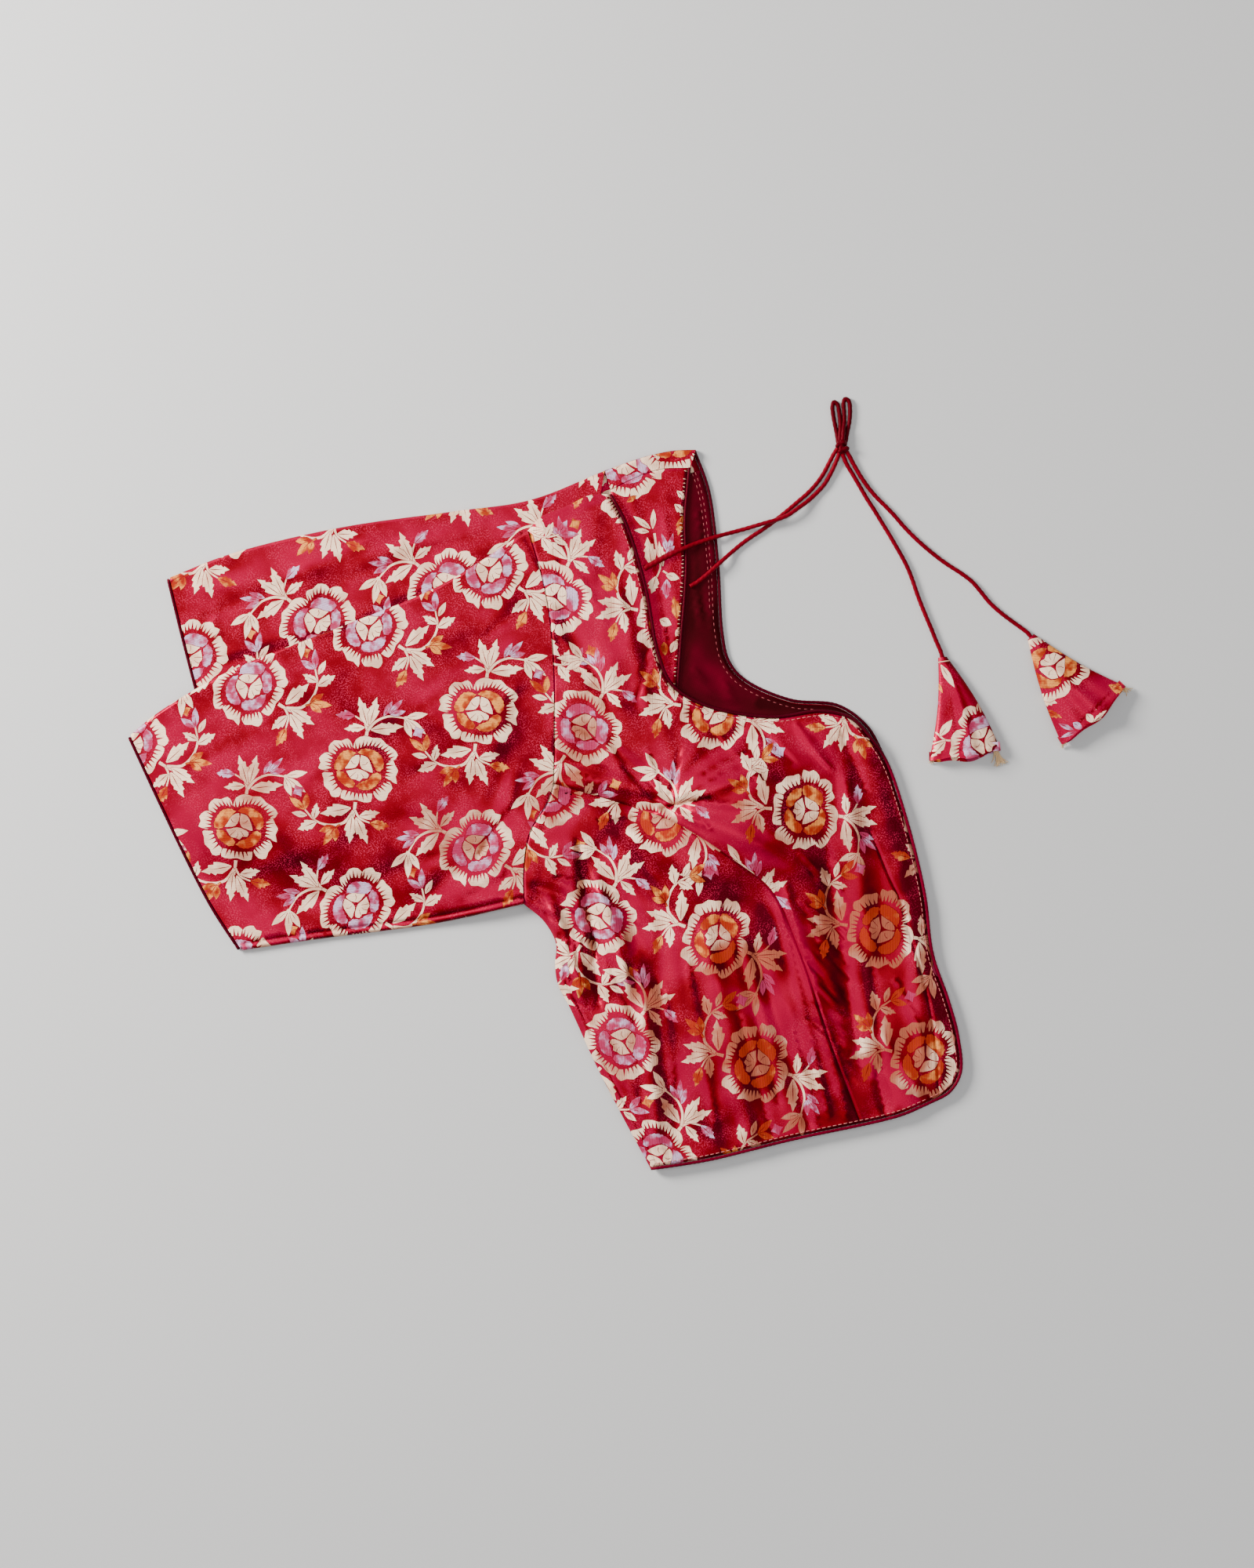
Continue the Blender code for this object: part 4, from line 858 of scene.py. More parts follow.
def rolled(field, outline, drop=edgeRoll["drop"], side=1):
    # the same heights with the edge rolled down, or up on an underside
    def height(points):
        away = edgeDistance(points, outline)
        return field(points) - side * drop * np.clip(1 - away / edgeRoll["width"], 0, 1.2) ** 2

    return height


# finishes

def nodesOf(name):
    material = bpy.data.materials.new(name)
    material.use_nodes = True
    return material, material.node_tree


def put(tree, kind, **inputs):
    node = tree.nodes.new(kind)
    for key, value in inputs.items():
        setattr(node, key, value)
    return node


def feed(tree, node, values):
    # each input gets a number, a colour or another node's output
    for name, value in values.items():
        socket = node.inputs[name]
        if isinstance(value, (int, float)):
            socket.default_value = value
        elif isinstance(value, tuple):
            socket.default_value = (*value, 1)
        else:
            tree.links.new(value, socket)


def mathNode(tree, operation, *values):
    node = put(tree, "ShaderNodeMath", operation=operation)
    feed(tree, node, dict(enumerate(values)))
    return node.outputs[0]


def mixColor(tree, share, first, second):
    node = put(tree, "ShaderNodeMix", data_type="RGBA")
    feed(tree, node, {0: share, 6: first, 7: second})
    return node.outputs[2]


brocade = {
    # dyes: a painted lit copy and a painted shaded copy of each
    "ground": ((0.280, 0.000, 0.022), (0.280, 0.000, 0.022)),
    "cream": ((0.980, 0.700, 0.480), (0.330, 0.085, 0.045)),
    "lilac": ((0.560, 0.420, 0.600), (0.360, 0.030, 0.090)),
    "gold": ((0.780, 0.300, 0.060), (0.300, 0.022, 0.003)),
    "outline": ((0.190, 0.000, 0.010), (0.100, 0.000, 0.004)),
    # the satin ground in painted shade, middle tone and painted highlight, then the colour of painted glints
    "groundPaintedShade": (0.050, 0.000, 0.002),
    "groundMiddle": (0.185, 0.000, 0.005),
    "groundPaintedHighlight": (0.300, 0.000, 0.026),
    "paintedGlint": (0.420, 0.016, 0.056),
    "gap": (0.260, 0.008, 0.016),    # what shows between the threads of a figure
    "paintedShadePower": 2.0,              # how soon painted shade darkens the figures
    "gapShare": (0.20, 0.62),    # of cream figures and of the others
    "rib": 0.95,                 # width of a woven rib, in mm
    "speck": 0.80,               # size of a painted glint, also used for the ribs' unevenness
    "roughness": 0.38,
    "figureRoughness": 0.14,     # added on the woven figures
    "metallic": (0.30, 0.12),    # of the ground and of the figures
    "specularTint": (1.0, 0.06, 0.14),  # keeps the satin's shine red
    "specular": 0.3,
    "anisotropic": 0.5,
    # clouds over the cloth: scale in repeats for each mm, detail
    "broad": (0.03, 2.0),
    "patches": (0.09, 3.0),
    "streaks": (0.16, 2.0),
    # how far the clouds change what lies below them
    "figureChange": (-0.2, 0.12),
    "colorChange": (-0.85, 0.15),    # of lilac and gold figures
    "groundChange": (-0.16, 0.16),
    "patchChange": (-0.05, 0.05),
    # where the painted ground colour turns from painted shade to middle, and from middle to painted
    # highlight
    "toMiddle": (0.04, 0.44),
    "toBright": (0.42, 0.76),
    # least and most share of painted glints
    "glintShare": (0.10, 0.72),
    "ribSlant": 1.7,
    "ribUneven": 2.6,
    "bump": (0.3, 0.00016),      # strength and depth in metres
}


def ranged(tree, value, low, high, lowest=0.0, highest=1.0):
    node = put(tree, "ShaderNodeMapRange")
    feed(tree, node, {
        "Value": value, "From Min": low, "From Max": high, "To Min": lowest, "To Max": highest,
    })
    return node.outputs["Result"]


def noise(tree, place, scale, detail):
    node = put(tree, "ShaderNodeTexNoise", noise_dimensions="2D")
    feed(tree, node, {"Vector": place, "Scale": scale, "Detail": detail})
    return node.outputs["Fac"]


def attribute(tree, name):
    return put(tree, "ShaderNodeAttribute", attribute_name=name, attribute_type="GEOMETRY").outputs["Fac"]


def addBump(tree, height, shader, strength, depth):
    bump = put(tree, "ShaderNodeBump")
    feed(tree, bump, {"Strength": strength, "Distance": depth, "Height": height})
    feed(tree, shader, {"Normal": bump.outputs["Normal"]})


def dyeRamp(tree, thread, paintedShade):
    # the dye of each face by its thread number, in the copy that the last argument picks: 0 for painted lit,
    # 1 for painted shaded
    dyed = put(tree, "ShaderNodeValToRGB")
    dyed.color_ramp.interpolation = "CONSTANT"
    while len(dyed.color_ramp.elements) < len(dyes):
        dyed.color_ramp.elements.new(0.5)
    for number, dye in enumerate(dyes):
        element = dyed.color_ramp.elements[number]
        element.position = max(0.0, (number - 0.5) / (len(dyes) - 1))
        element.color = (*brocade[dye][paintedShade], 1)
    feed(tree, dyed, {"Fac": thread})
    return dyed.outputs["Color"]


def brocadeMaterial():
    material, tree = nodesOf("brocade")
    shader = tree.nodes["Principled BSDF"]
    thread = attribute(tree, "thread")
    woven = mathNode(tree, "GREATER_THAN", thread, 0.1)
    ground = mathNode(tree, "SUBTRACT", 1.0, woven)
    colored = mathNode(tree, "COMPARE", thread, 0.625, 0.2)

    place = put(tree, "ShaderNodeUVMap", uv_map="weave").outputs["UV"]
    parts = put(tree, "ShaderNodeSeparateXYZ")
    feed(tree, parts, {0: place})
    broad, patches, streaks = (
        noise(tree, place, *brocade[name]) for name in ("broad", "patches", "streaks")
    )
    speck = noise(tree, place, 1 / brocade["speck"], 1.0)

    # figures: mixed from painted lit and painted shaded dyes, with the ground showing between their slanting
    # ribs
    change = ranged(tree, patches, 0.35, 0.65, *brocade["figureChange"])
    weftAndPaintedLight = mathNode(tree, "ADD", attribute(tree, "weftAndPaintedLight"), change)
    change = ranged(tree, streaks, 0.36, 0.62, *brocade["colorChange"])
    change = mathNode(tree, "MULTIPLY", colored, change)
    paintedLightShare = mathNode(tree, "ADD", weftAndPaintedLight, change)
    paintedLightShare.node.use_clamp = True
    paintedLightShare = mathNode(tree, "POWER", paintedLightShare, brocade["paintedShadePower"])
    figure = mixColor(tree, paintedLightShare, dyeRamp(tree, thread, 1), dyeRamp(tree, thread, 0))
    slant = mathNode(tree, "MULTIPLY", parts.outputs[1], brocade["ribSlant"])
    slant = mathNode(tree, "ADD", parts.outputs[0], slant)
    phase = mathNode(tree, "MULTIPLY", slant, math.pi / brocade["rib"])
    uneven = mathNode(tree, "MULTIPLY", speck, brocade["ribUneven"])
    rib = mathNode(tree, "SINE", mathNode(tree, "ADD", phase, uneven))
    gap = ranged(tree, speck, 0.38, 0.62, 0.35, 1.0)
    gap = mathNode(tree, "MULTIPLY", ranged(tree, rib, 0.3, -1.0), gap)
    gap = mathNode(tree, "MULTIPLY", gap, ranged(tree, colored, 0.0, 1.0, *brocade["gapShare"]))
    figure = mixColor(tree, gap, figure, brocade["gap"])

    # satin ground in painted shade and painted highlight, with painted glints of the weft
    change = ranged(tree, broad, 0.3, 0.7, *brocade["groundChange"])
    lying = mathNode(tree, "ADD", attribute(tree, "paintedSheen"), change)
    lying = mathNode(tree, "ADD", lying, ranged(tree, patches, 0.3, 0.7, *brocade["patchChange"]))
    middling = ranged(tree, lying, *brocade["toMiddle"])
    satinColor = mixColor(tree, middling, brocade["groundPaintedShade"], brocade["groundMiddle"])
    brightening = ranged(tree, lying, *brocade["toBright"])
    satinColor = mixColor(tree, brightening, satinColor, brocade["groundPaintedHighlight"])
    patchy = ranged(tree, patches, 0.38, 0.6, *brocade["glintShare"])
    glint = mathNode(tree, "MULTIPLY", ranged(tree, speck, 0.50, 0.66), patchy)
    glint = mathNode(tree, "MULTIPLY", glint, weftAndPaintedLight)
    satinColor = mixColor(tree, glint, satinColor, brocade["paintedGlint"])

    rough = mathNode(tree, "MULTIPLY_ADD", woven, brocade["figureRoughness"], brocade["roughness"])
    tangent = put(tree, "ShaderNodeTangent", direction_type="UV_MAP", uv_map="weave")
    feed(tree, shader, {
        "Base Color": mixColor(tree, woven, satinColor, figure),
        "Roughness": rough,
        "Metallic": ranged(tree, woven, 0.0, 1.0, *brocade["metallic"]),
        "Specular IOR Level": brocade["specular"],
        "Specular Tint": brocade["specularTint"],
        "Anisotropic": brocade["anisotropic"],
        "Tangent": tangent.outputs["Tangent"],
    })

    relief = mathNode(tree, "MULTIPLY", rib, ranged(tree, woven, 0.0, 1.0, 0.1, 0.8))
    relief = mathNode(tree, "ADD", relief, mathNode(tree, "MULTIPLY", speck, ground))
    addBump(tree, relief, shader, *brocade["bump"])
    return material


plainFinishes = {
    # name: colour, darker colour, roughness, thread spacing in metres, bump distance
    "lining": ((0.125, 0.000, 0.010), (0.008, 0.000, 0.000), 0.46, 0.0007, 0.00006),
    "piping": ((0.060, 0.000, 0.006), (0.024, 0.000, 0.002), 0.42, 0.0008, 0.00010),
    "cord": ((0.200, 0.000, 0.009), (0.075, 0.000, 0.003), 0.50, 0.0006, 0.00010),
    "darkCord": ((0.090, 0.000, 0.004), (0.034, 0.000, 0.001), 0.50, 0.0006, 0.00010),
    "stitch": ((0.70, 0.22, 0.20), (0.50, 0.10, 0.11), 0.55, 0.0003, 0.00003),
    "liningStitch": ((0.42, 0.10, 0.11), (0.22, 0.03, 0.04), 0.55, 0.0003, 0.00003),
    "overcast": ((0.90, 0.64, 0.44), (0.70, 0.34, 0.22), 0.5, 0.0003, 0.00003),
    "fray": ((0.86, 0.64, 0.38), (0.46, 0.26, 0.10), 0.5, 0.0003, 0.00003),
}
pipingPaintedHighlight = (0.22, 0.0, 0.020)   # painted highlight on the piping


def plainMaterial(name):
    color, dark, roughness, spacing, depth = plainFinishes[name]
    material, tree = nodesOf(name)
    shader = tree.nodes["Principled BSDF"]
    place = put(tree, "ShaderNodeTexCoord").outputs["Object"]
    cloud = put(tree, "ShaderNodeTexNoise")
    feed(tree, cloud, {"Vector": place, "Scale": 60.0, "Detail": 3.0})
    warp, weftAndPaintedLight = (put(tree, "ShaderNodeTexWave", wave_type="BANDS", bands_direction=way) for way in "XY")
    for wave in (warp, weftAndPaintedLight):
        feed(tree, wave, {"Vector": place, "Scale": 1 / spacing / 3.2, "Distortion": 0.6})
    threads = mathNode(tree, "MULTIPLY", warp.outputs["Fac"], weftAndPaintedLight.outputs["Fac"])
    clouded = mathNode(tree, "MULTIPLY", cloud.outputs["Fac"], 0.9)
    tone = mathNode(tree, "MULTIPLY_ADD", threads, 0.35, clouded)
    # painted sheen and painted shade on the lining; a mesh without this attribute takes the darker colour
    # all over
    if name == "lining":
        tone = mathNode(tree, "MULTIPLY", tone, ranged(tree, attribute(tree, "paintedSheen"), 0.15, 0.95))
    finish = mixColor(tree, tone, dark, color)
    # painted highlight on the piping
    if name == "piping":
        finish = mixColor(tree, mathNode(tree, "MULTIPLY", attribute(tree, "paintedHighlight"), tone), finish, pipingPaintedHighlight)
    feed(tree, shader, {
        "Base Color": finish, "Roughness": roughness, "Specular IOR Level": 0.25,
        "Specular Tint": (1.0, 0.08, 0.14),
    })
    addBump(tree, threads, shader, 0.35, depth)
    return material


finishes = {name: plainMaterial(name) for name in plainFinishes}
finishes["brocade"] = brocadeMaterial()
print("finishes ready")


def settle(piece, slot, *nodes):
    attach(piece, "root")
    if nodes:
        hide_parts(*nodes)
    return piece


# tie cords, their knot and bow

tie = {
    "radius": 1.2,
    "lift": 0.1,
    "twist": 6.4,                # length of one turn of the two strands
    "around": 14,
    "step": 0.7,
    "bound": 1.4,                # times thicker over the near cord's first part
    "boundLength": 17,
    "boundFade": 5,              # it thins out over this length
    "strands": (0.91, 0.16),     # share of the radius between the strands, and what their bulge adds
}
tableZ = tie["radius"] + tie["lift"]
liningZ = level["liningFloor"] + level["lining"] + tableZ
strapZ = level["backTop"] + tableZ
overZ = tableZ + 2 * tie["radius"] + 0.2


def overTable(rows):
    # the third number is how far a cord lies above its place on the table
    return [(x, y, tableZ + rise) for x, y, rise in rows]


routes = {
    "dori_near": [
        (94.9, 136.8, strapZ), (101, 138.6, strapZ), (108, 140.6, strapZ + 0.1), (115, 142.2, strapZ + 0.4),
        (121, 143.4, strapZ + 0.2), (127, 144.4, liningZ + 0.6), (134, 145.2, liningZ + 0.2),
        (141, 145.8, 3.3), (148, 146.2, tableZ + 0.3), (155, 146.5, tableZ + 0.5), (162, 146.9, 3.0),
        (169, 147.3, overZ), (175, 147.7, overZ), (181, 148.8, overZ), (187, 151.2, overZ - 0.4),
        (193, 153.8, 2.2), (199, 157.2, tableZ), (205, 161.4, tableZ), (209.5, 166.2, tableZ),
        (213.4, 171.2, tableZ + 0.4), (216.3, 175.6, tableZ + 0.9), (217.8, 178.4, tableZ + 1.5),
    ],
    "dori_far": [
        (118.0, 121.4, liningZ), (122, 122.6, liningZ), (128, 125.4, liningZ), (134, 128.8, liningZ + 0.1),
        (140, 132.2, 3.3), (146, 135.6, tableZ + 0.2), (152, 138.7, tableZ), (158, 141.3, tableZ),
        (164, 143.5, tableZ), (170, 146.0, tableZ), (176, 148.8, tableZ), (182, 151.8, tableZ),
        (188, 155.0, tableZ), (194, 158.2, tableZ), (200, 162.2, tableZ), (205.4, 167.0, tableZ),
        (210.2, 172.6, tableZ + 0.4), (214.5, 177.6, tableZ + 0.9), (217.0, 180.0, tableZ + 1.4),
    ],
    "tail_left": overTable([
        (218.6, 178.6, 1.6), (219, 174.9, 0.9), (220.2, 169, 0.2), (222.2, 163, 0), (224.6, 155.5, 0),
        (227, 148, 0), (229.6, 141, 0), (232, 134, 0), (234.6, 126.5, 0), (237, 119, 0), (239.2, 112, 0),
        (241, 105, 0), (242.2, 97.5, 0), (243, 90, 0), (244, 83, 0), (245.2, 76, 0), (246.6, 68.5, 0),
        (247.8, 61, 0.1), (249.0, 54.6, 0.4), (249.2, 51.6, 0.5), (249.2, 43.0, 0.6),
    ]),
    "tail_right": overTable([
        (220.0, 179.0, 1.6), (221.8, 175.7, 0.9), (223.8, 169, 0.2), (226.4, 161, 0), (229, 154.6, 0),
        (232, 148.6, 0), (236.8, 141, 0), (240.4, 135, 0), (243.6, 129, 0), (247.6, 122.4, 0),
        (252, 116, 0), (259, 107, 0), (264, 101.4, 0), (269.6, 95.8, 0), (275, 89.4, 0), (278.6, 82.8, 0),
        (282, 76, 0), (286.4, 69.6, 0), (291.2, 63.8, 0), (296, 58.4, 0.1), (299.2, 54.6, 0.4),
        (300.55, 52.1, 0.5), (304.4, 44.4, 0.6),
    ]),
    "bow_loop_left": overTable([
        (217.8, 180.6, 1.5), (217.9, 184.2, 0.6), (218.2, 188, 0), (218.3, 194, 0), (218.6, 200.0, 0),
        (219.2, 203.9, 0), (220.7, 206.0, 0), (222.2, 204.2, 0), (222.2, 200, 0), (221.6, 194, 0.2),
        (220.4, 189, 1.3), (219.3, 185.3, 1.6), (218.8, 181.8, 1.3),
    ]),
    "bow_loop_right": overTable([
        (219.6, 181.6, 1.3), (220.9, 184.8, 2.4), (222.0, 188.6, 2.0), (223.9, 194, 0.2), (225.0, 199.5, 0),
        (225.7, 204.2, 0), (227.3, 206.4, 0), (228.9, 204.6, 0), (228.5, 199.6, 0), (226.6, 193, 0),
        (224.2, 187.6, 0), (222.4, 183.3, 0.6), (221.0, 180.6, 1.3),
    ]),
}


def addTube(shape, path, radiusAt, around, closed=False):
    # a tube whose section is radiusAt(run, angle), carried along a path without twist
    path = np.asarray(path, float)
    if closed:
        ahead = np.roll(path, -1, axis=0) - np.roll(path, 1, axis=0)
    else:
        ahead = np.gradient(path, axis=0)
    ahead = unit(ahead)
    side = unit(np.cross(ahead, np.array([0.0, 0.0, 1.0])))
    lift = np.cross(side, ahead)
    run = runAlong(path)
    angle = np.linspace(0, 2 * math.pi, around, endpoint=False)
    rings = []
    for k in range(len(path)):
        radius = radiusAt(run[k], angle)
        aside = np.outer(np.cos(angle) * radius, side[k])
        above = np.outer(np.sin(angle) * radius, lift[k])
        rings.append([shape.verts.new(tuple(p * mm)) for p in path[k] + aside + above])
    spans = len(path) if closed else len(path) - 1
    for k in range(spans):
        this, following = rings[k], rings[(k + 1) % len(path)]
        for j in range(around):
            i = (j + 1) % around
            shape.faces.new((this[j], following[j], following[i], this[i]))
    if not closed:
        shape.faces.new(rings[0])
        shape.faces.new(rings[-1][::-1])


def madeOf(name, shape, material):
    mesh = bpy.data.meshes.new(name)
    shape.to_mesh(mesh)
    shape.free()
    mesh.materials.append(material)
    mesh.shade_smooth()
    return linked(name, mesh)


def tubeMesh(name, paths, radiusAt, around, material, closed=False):
    shape = bmesh.new()
    for path in paths:
        addTube(shape, path, radiusAt, around, closed)
    return madeOf(name, shape, material)


def twistedRadius(run, angle):
    # two strands laid round each other
    turn = 2 * math.pi * run / tie["twist"]
    hollow, bulge = tie["strands"]
    return tie["radius"] * (hollow + bulge * np.abs(np.cos(angle - turn)) ** 0.8)


def thickStart(run, angle):
    # the near cord is bound with cloth where it leaves the neck edge
    extra = (tie["bound"] - 1) * (1 - ramp((run - tie["boundLength"]) / tie["boundFade"]))
    return twistedRadius(run, angle) * (1 + extra)


def addTie():
    laid = {}
    for name, points in routes.items():
        path = byStep(splineThrough(points), tie["step"])
        radius = thickStart if name == "dori_near" else twistedRadius
        finish = finishes["darkCord" if "loop" in name else "cord"]
        piece = tubeMesh(name + "_cord", [path], radius, tie["around"], finish)
        laid[name] = (settle(piece, "cord", name), path)
    return laid


cords = addTie()
print("tie cords laid:", {name: round(lengthOf(path)) for name, (_, path) in cords.items()})

knot = {
    "centre": (219.4, 180.0, 3.15),
    # wraps of the knot: turn in degrees, shift along it, size of the loop across and up
    "wraps": [(10, -2.1, 2.3, 2.5), (14, 1.6, 2.2, 2.6), (74, 0.2, 2.9, 2.3), (120, -0.2, 2.7, 2.2)],
}


def addKnot():
    x, y, z = knot["centre"]
    paths = []
    for turn, shift, across, up in knot["wraps"]:
        a = np.linspace(0, 2 * math.pi, 40, endpoint=False)
        c, s = cosSin(turn)
        u = np.cos(a) * across
        w = np.sin(a) * (up - tie["radius"]) + 0.4 * np.cos(2 * a)
        v = shift + 0.5 * np.sin(a)
        paths.append(np.stack([x + u * c - v * s, y + u * s + v * c, z + w], axis=1))
    piece = tubeMesh("tie_knot_wraps", paths, twistedRadius, 12, finishes["darkCord"], closed=True)
    return settle(piece, "cord", "tie_knot")


knotPiece = addKnot()


# cloth panels on top

near = {
    "fullness": {
        # x, y, reach along x, reach along y, height
        "bust": (116, -14, 46, 42, 11.0),
        "waist": (84, -112, 60, 60, 4.5),
        "shoulder": (64, 96, 26, 60, 2.0),
    },
    "fullnessEdge": 34,
    "creaseStrength": 1.25,
    "rolls": [("sideEdge", 4.0, 1.5), ("frontEdge", 12.0, 1.3), ("shoulderNear", 7.0, 1.5)],
    "bigFolds": [
        # underarm: a deep fold with the cloth turned over beside it
        (24, -12, 21, -66, 3.0, -4.2), (21, -64, 17, -94, 3.4, -2.4), (3, -44, 8, -86, 5.0, 3.0),
        (31, -38, 35, -84, 6.0, 3.2), (-4, -26, 12, -36, 4.0, -1.4), (44, -50, 52, -96, 7.0, -1.8),
        # bust: the dimple and the pull from the armhole to it
        (76, 6, 84, 1, 5.0, -3.2), (24, 22, 68, 4, 4.5, -1.8), (30, 34, 66, 16, 5.0, 1.6),
        (88, 6, 116, 8, 5.5, 1.8), (72, 16, 58, 40, 4.0, -1.6), (94, -8, 124, -30, 6.0, 1.4),
        (60, -14, 84, -36, 7.0, 1.6), (100, 22, 126, 34, 6.0, -1.2),
        # below the bust
        (58, -76, 46, -168, 9.0, -2.0), (40, -112, 34, -170, 6.0, 1.6), (84, -84, 84, -184, 8.0, 2.0),
        (110, -92, 118, -188, 6.0, -1.9), (134, -64, 140, -186, 5.0, 1.8), (160, -50, 154, -152, 6.5, -2.2),
        (180, -10, 174, -96, 7.0, 1.8), (162, -172, 162, -198, 3.0, -1.7), (196, -118, 190, -160, 6.0, 1.4),
        (172, -160, 182, -186, 6.0, 1.2),
        # over the shoulder
        (46, 120, 58, 70, 7.0, -1.3), (78, 120, 80, 70, 6.0, 1.3), (44, 170, 60, 130, 5.0, 0.8),
    ],
    "creases": [
        # underarm swirl
        (-6, -40, 14, -54, 1.7, -0.9), (2, -36, 20, -47, 1.6, 0.8), (-9, -30, 10, -43, 1.5, -0.6),
        (8, -58, 4, -80, 1.7, -0.8), (13, -62, 11, -90, 1.8, 0.8), (0, -62, -2, -80, 1.4, 0.7),
        (-2, -72, 10, -76, 1.2, -0.7), (-3, -84, 9, -90, 1.3, 0.6), (0, -92, 12, -100, 1.4, -0.6),
        (24, -50, 33, -70, 1.8, -0.8), (26, -38, 46, -56, 2.4, 0.6), (10, -24, 36, -36, 2.0, -0.8),
        (38, -64, 42, -92, 2.2, 0.6), (28, -80, 34, -110, 2.4, -0.6), (6, -104, 18, -124, 2.6, 0.5),
        # dimple over the bust
        (79, 2, 102, 2, 1.5, -1.2), (82, 6, 108, 13, 1.7, 0.8), (73, 8, 60, 28, 1.7, -0.9),
        (70, 1, 50, 10, 1.6, -0.9), (82, -1, 98, -14, 1.9, 0.8), (83, 11, 92, 30, 1.9, -0.7),
        (66, 12, 44, 24, 2.0, 0.7), (96, 1, 124, -8, 2.0, -0.7), (76, 12, 74, 34, 1.6, 0.6),
        (104, 16, 128, 22, 2.0, -0.5), (56, 2, 40, 4, 1.8, 0.6),
        # pulls beside the neck and the armhole
        (98, 62, 112, 40, 2.4, -0.7), (104, 66, 124, 46, 2.0, 0.6), (88, 92, 76, 66, 2.6, -0.6),
        (40, 110, 52, 84, 2.4, 0.5), (28, 70, 46, 50, 2.0, -0.7), (24, 46, 46, 32, 2.0, 0.7),
        (22, 38, 38, 28, 1.6, -0.6), (36, 96, 50, 90, 1.8, -0.5), (38, 140, 50, 128, 1.8, 0.5),
        (140, 32, 152, 12, 2.4, -0.6), (118, 32, 132, 8, 2.8, 0.5), (160, 30, 172, 6, 2.4, 0.6),
        (184, 22, 190, -10, 2.6, -0.5),
        # long soft folds of the front's skirt
        (40, -80, 30, -150, 4.4, -0.7), (70, -92, 66, -176, 3.6, 0.7), (100, -86, 104, -170, 3.6, -0.7),
        (128, -70, 130, -184, 2.8, 0.7), (172, -112, 166, -168, 3.0, -0.6),
        (60, -30, 78, -66, 3.6, -0.7), (44, -24, 62, -48, 3.0, 0.6),
        (54, -104, 48, -150, 3.0, 0.6), (92, -118, 96, -190, 2.6, -0.5), (24, -150, 34, -190, 2.6, 0.6),
        (120, -140, 122, -192, 2.0, 0.6), (184, -124, 190, -150, 2.2, 0.6), (176, -84, 196, -100, 3.0, 0.5),
    ],
    # lines of stitching that pull the cloth into a groove
    "stitched": {
        "facing": evenLine([
            (188, -37), (190, -48), (193, -65), (196, -78), (197, -98), (199, -120), (199, -144),
            (197, -170), (193, -192),
        ]),
        "side": evenLine([(4, -66), (1, -82), (5, -98), (12, -131), (19, -158), (29, -193)]),
    },
    "groove": (0.9, 0.55),       # half width and depth
    "climb": (40, 38),           # onto what lies below: start outside its edge, length
    "calm": (9, 0.25),           # folds calm down over this width, to this share at the edge
}


def nearEdgeField(points):
    start, length = near["climb"]
    below = np.maximum(
        ramp((softDistance(points, "farSleeve") + start) / length),
        ramp((softDistance(points, "strap") + start) / length),
    )
    height = level["edgeTop"] + (level["upperTop"] - level["edgeTop"]) * below
    for name, width, drop in near["rolls"]:
        height -= drop * (1 - ramp(softDistance(points, name) / width))
    return height


unevenness = {"waves": 9, "length": (18, 60), "height": 0.0022}


def ripple(points, seed, size=1.0):
    # slight unevenness of cloth that has been folded and pressed
    draw = random.Random(seed)
    total = np.zeros(points.shape[:-1])
    for _ in range(unevenness["waves"]):
        wave = draw.uniform(*unevenness["length"])
        angle = draw.uniform(0, math.pi)
        phase = draw.uniform(0, 6.28)
        run = points[..., 0] * math.cos(angle) + points[..., 1] * math.sin(angle)
        total += np.sin(run / wave * 2 * math.pi + phase) * wave * unevenness["height"] * size
    return total


puckers = {
    "count": 24,
    "first": (160, -40),         # place of the first one
    "pitch": 5.2,                # down the seam
    "slant": 0.17,               # the seam's x for each y
    "slantFrom": -44,            # y where the seam stands at the first one's x
    "uneven": (3, 1.6),          # along x and y
    "reach": (6, 13),
    "lean": (6, 14),
    "halfWidth": (1.3, 2.1),
    "height": (0.4, 0.85),
}


def gathers(seed):
    # short crosswise puckers along the princess seam, below the bust
    draw = random.Random(seed)
    firstX, firstY = puckers["first"]
    unevenX, unevenY = puckers["uneven"]
    rows = []
    for k in range(puckers["count"]):
        y = firstY - k * puckers["pitch"] + draw.uniform(-unevenY, unevenY)
        x = firstX + (y - puckers["slantFrom"]) * puckers["slant"] + draw.uniform(-unevenX, unevenX)
        reach = draw.uniform(*puckers["reach"])
        lean = draw.uniform(*puckers["lean"])
        height = draw.choice((-1, 1)) * draw.uniform(*puckers["height"])
        halfWidth = draw.uniform(*puckers["halfWidth"])
        rows.append((x - reach, y + lean, x + reach * 0.6, y - lean, halfWidth, height))
    return rows


nearCreases = near["bigFolds"] + gathers(4)
nearCreases += [(*row[:5], row[5] * near["creaseStrength"]) for row in near["creases"]]


def nearField(points):
    inside = softDistance(points, "near")
    full = np.zeros(points.shape[:-1])
    for x, y, reachX, reachY, height in near["fullness"].values():
        away = ((points[..., 0] - x) / reachX) ** 2 + ((points[..., 1] - y) / reachY) ** 2
        full += height * np.exp(-away)
    width, kept = near["calm"]
    calm = kept + (1 - kept) * ramp(inside / width)
    folds = creased(points, nearCreases) + ripple(points, 3, 1.3)
    width, depth = near["groove"]
    for stitched in near["stitched"].values():
        folds = folds - depth * np.exp(-(edgeDistance(points, stitched, closed=False) / width) ** 2)
    return nearEdgeField(points) + full * ramp(inside / near["fullnessEdge"]) + folds * calm


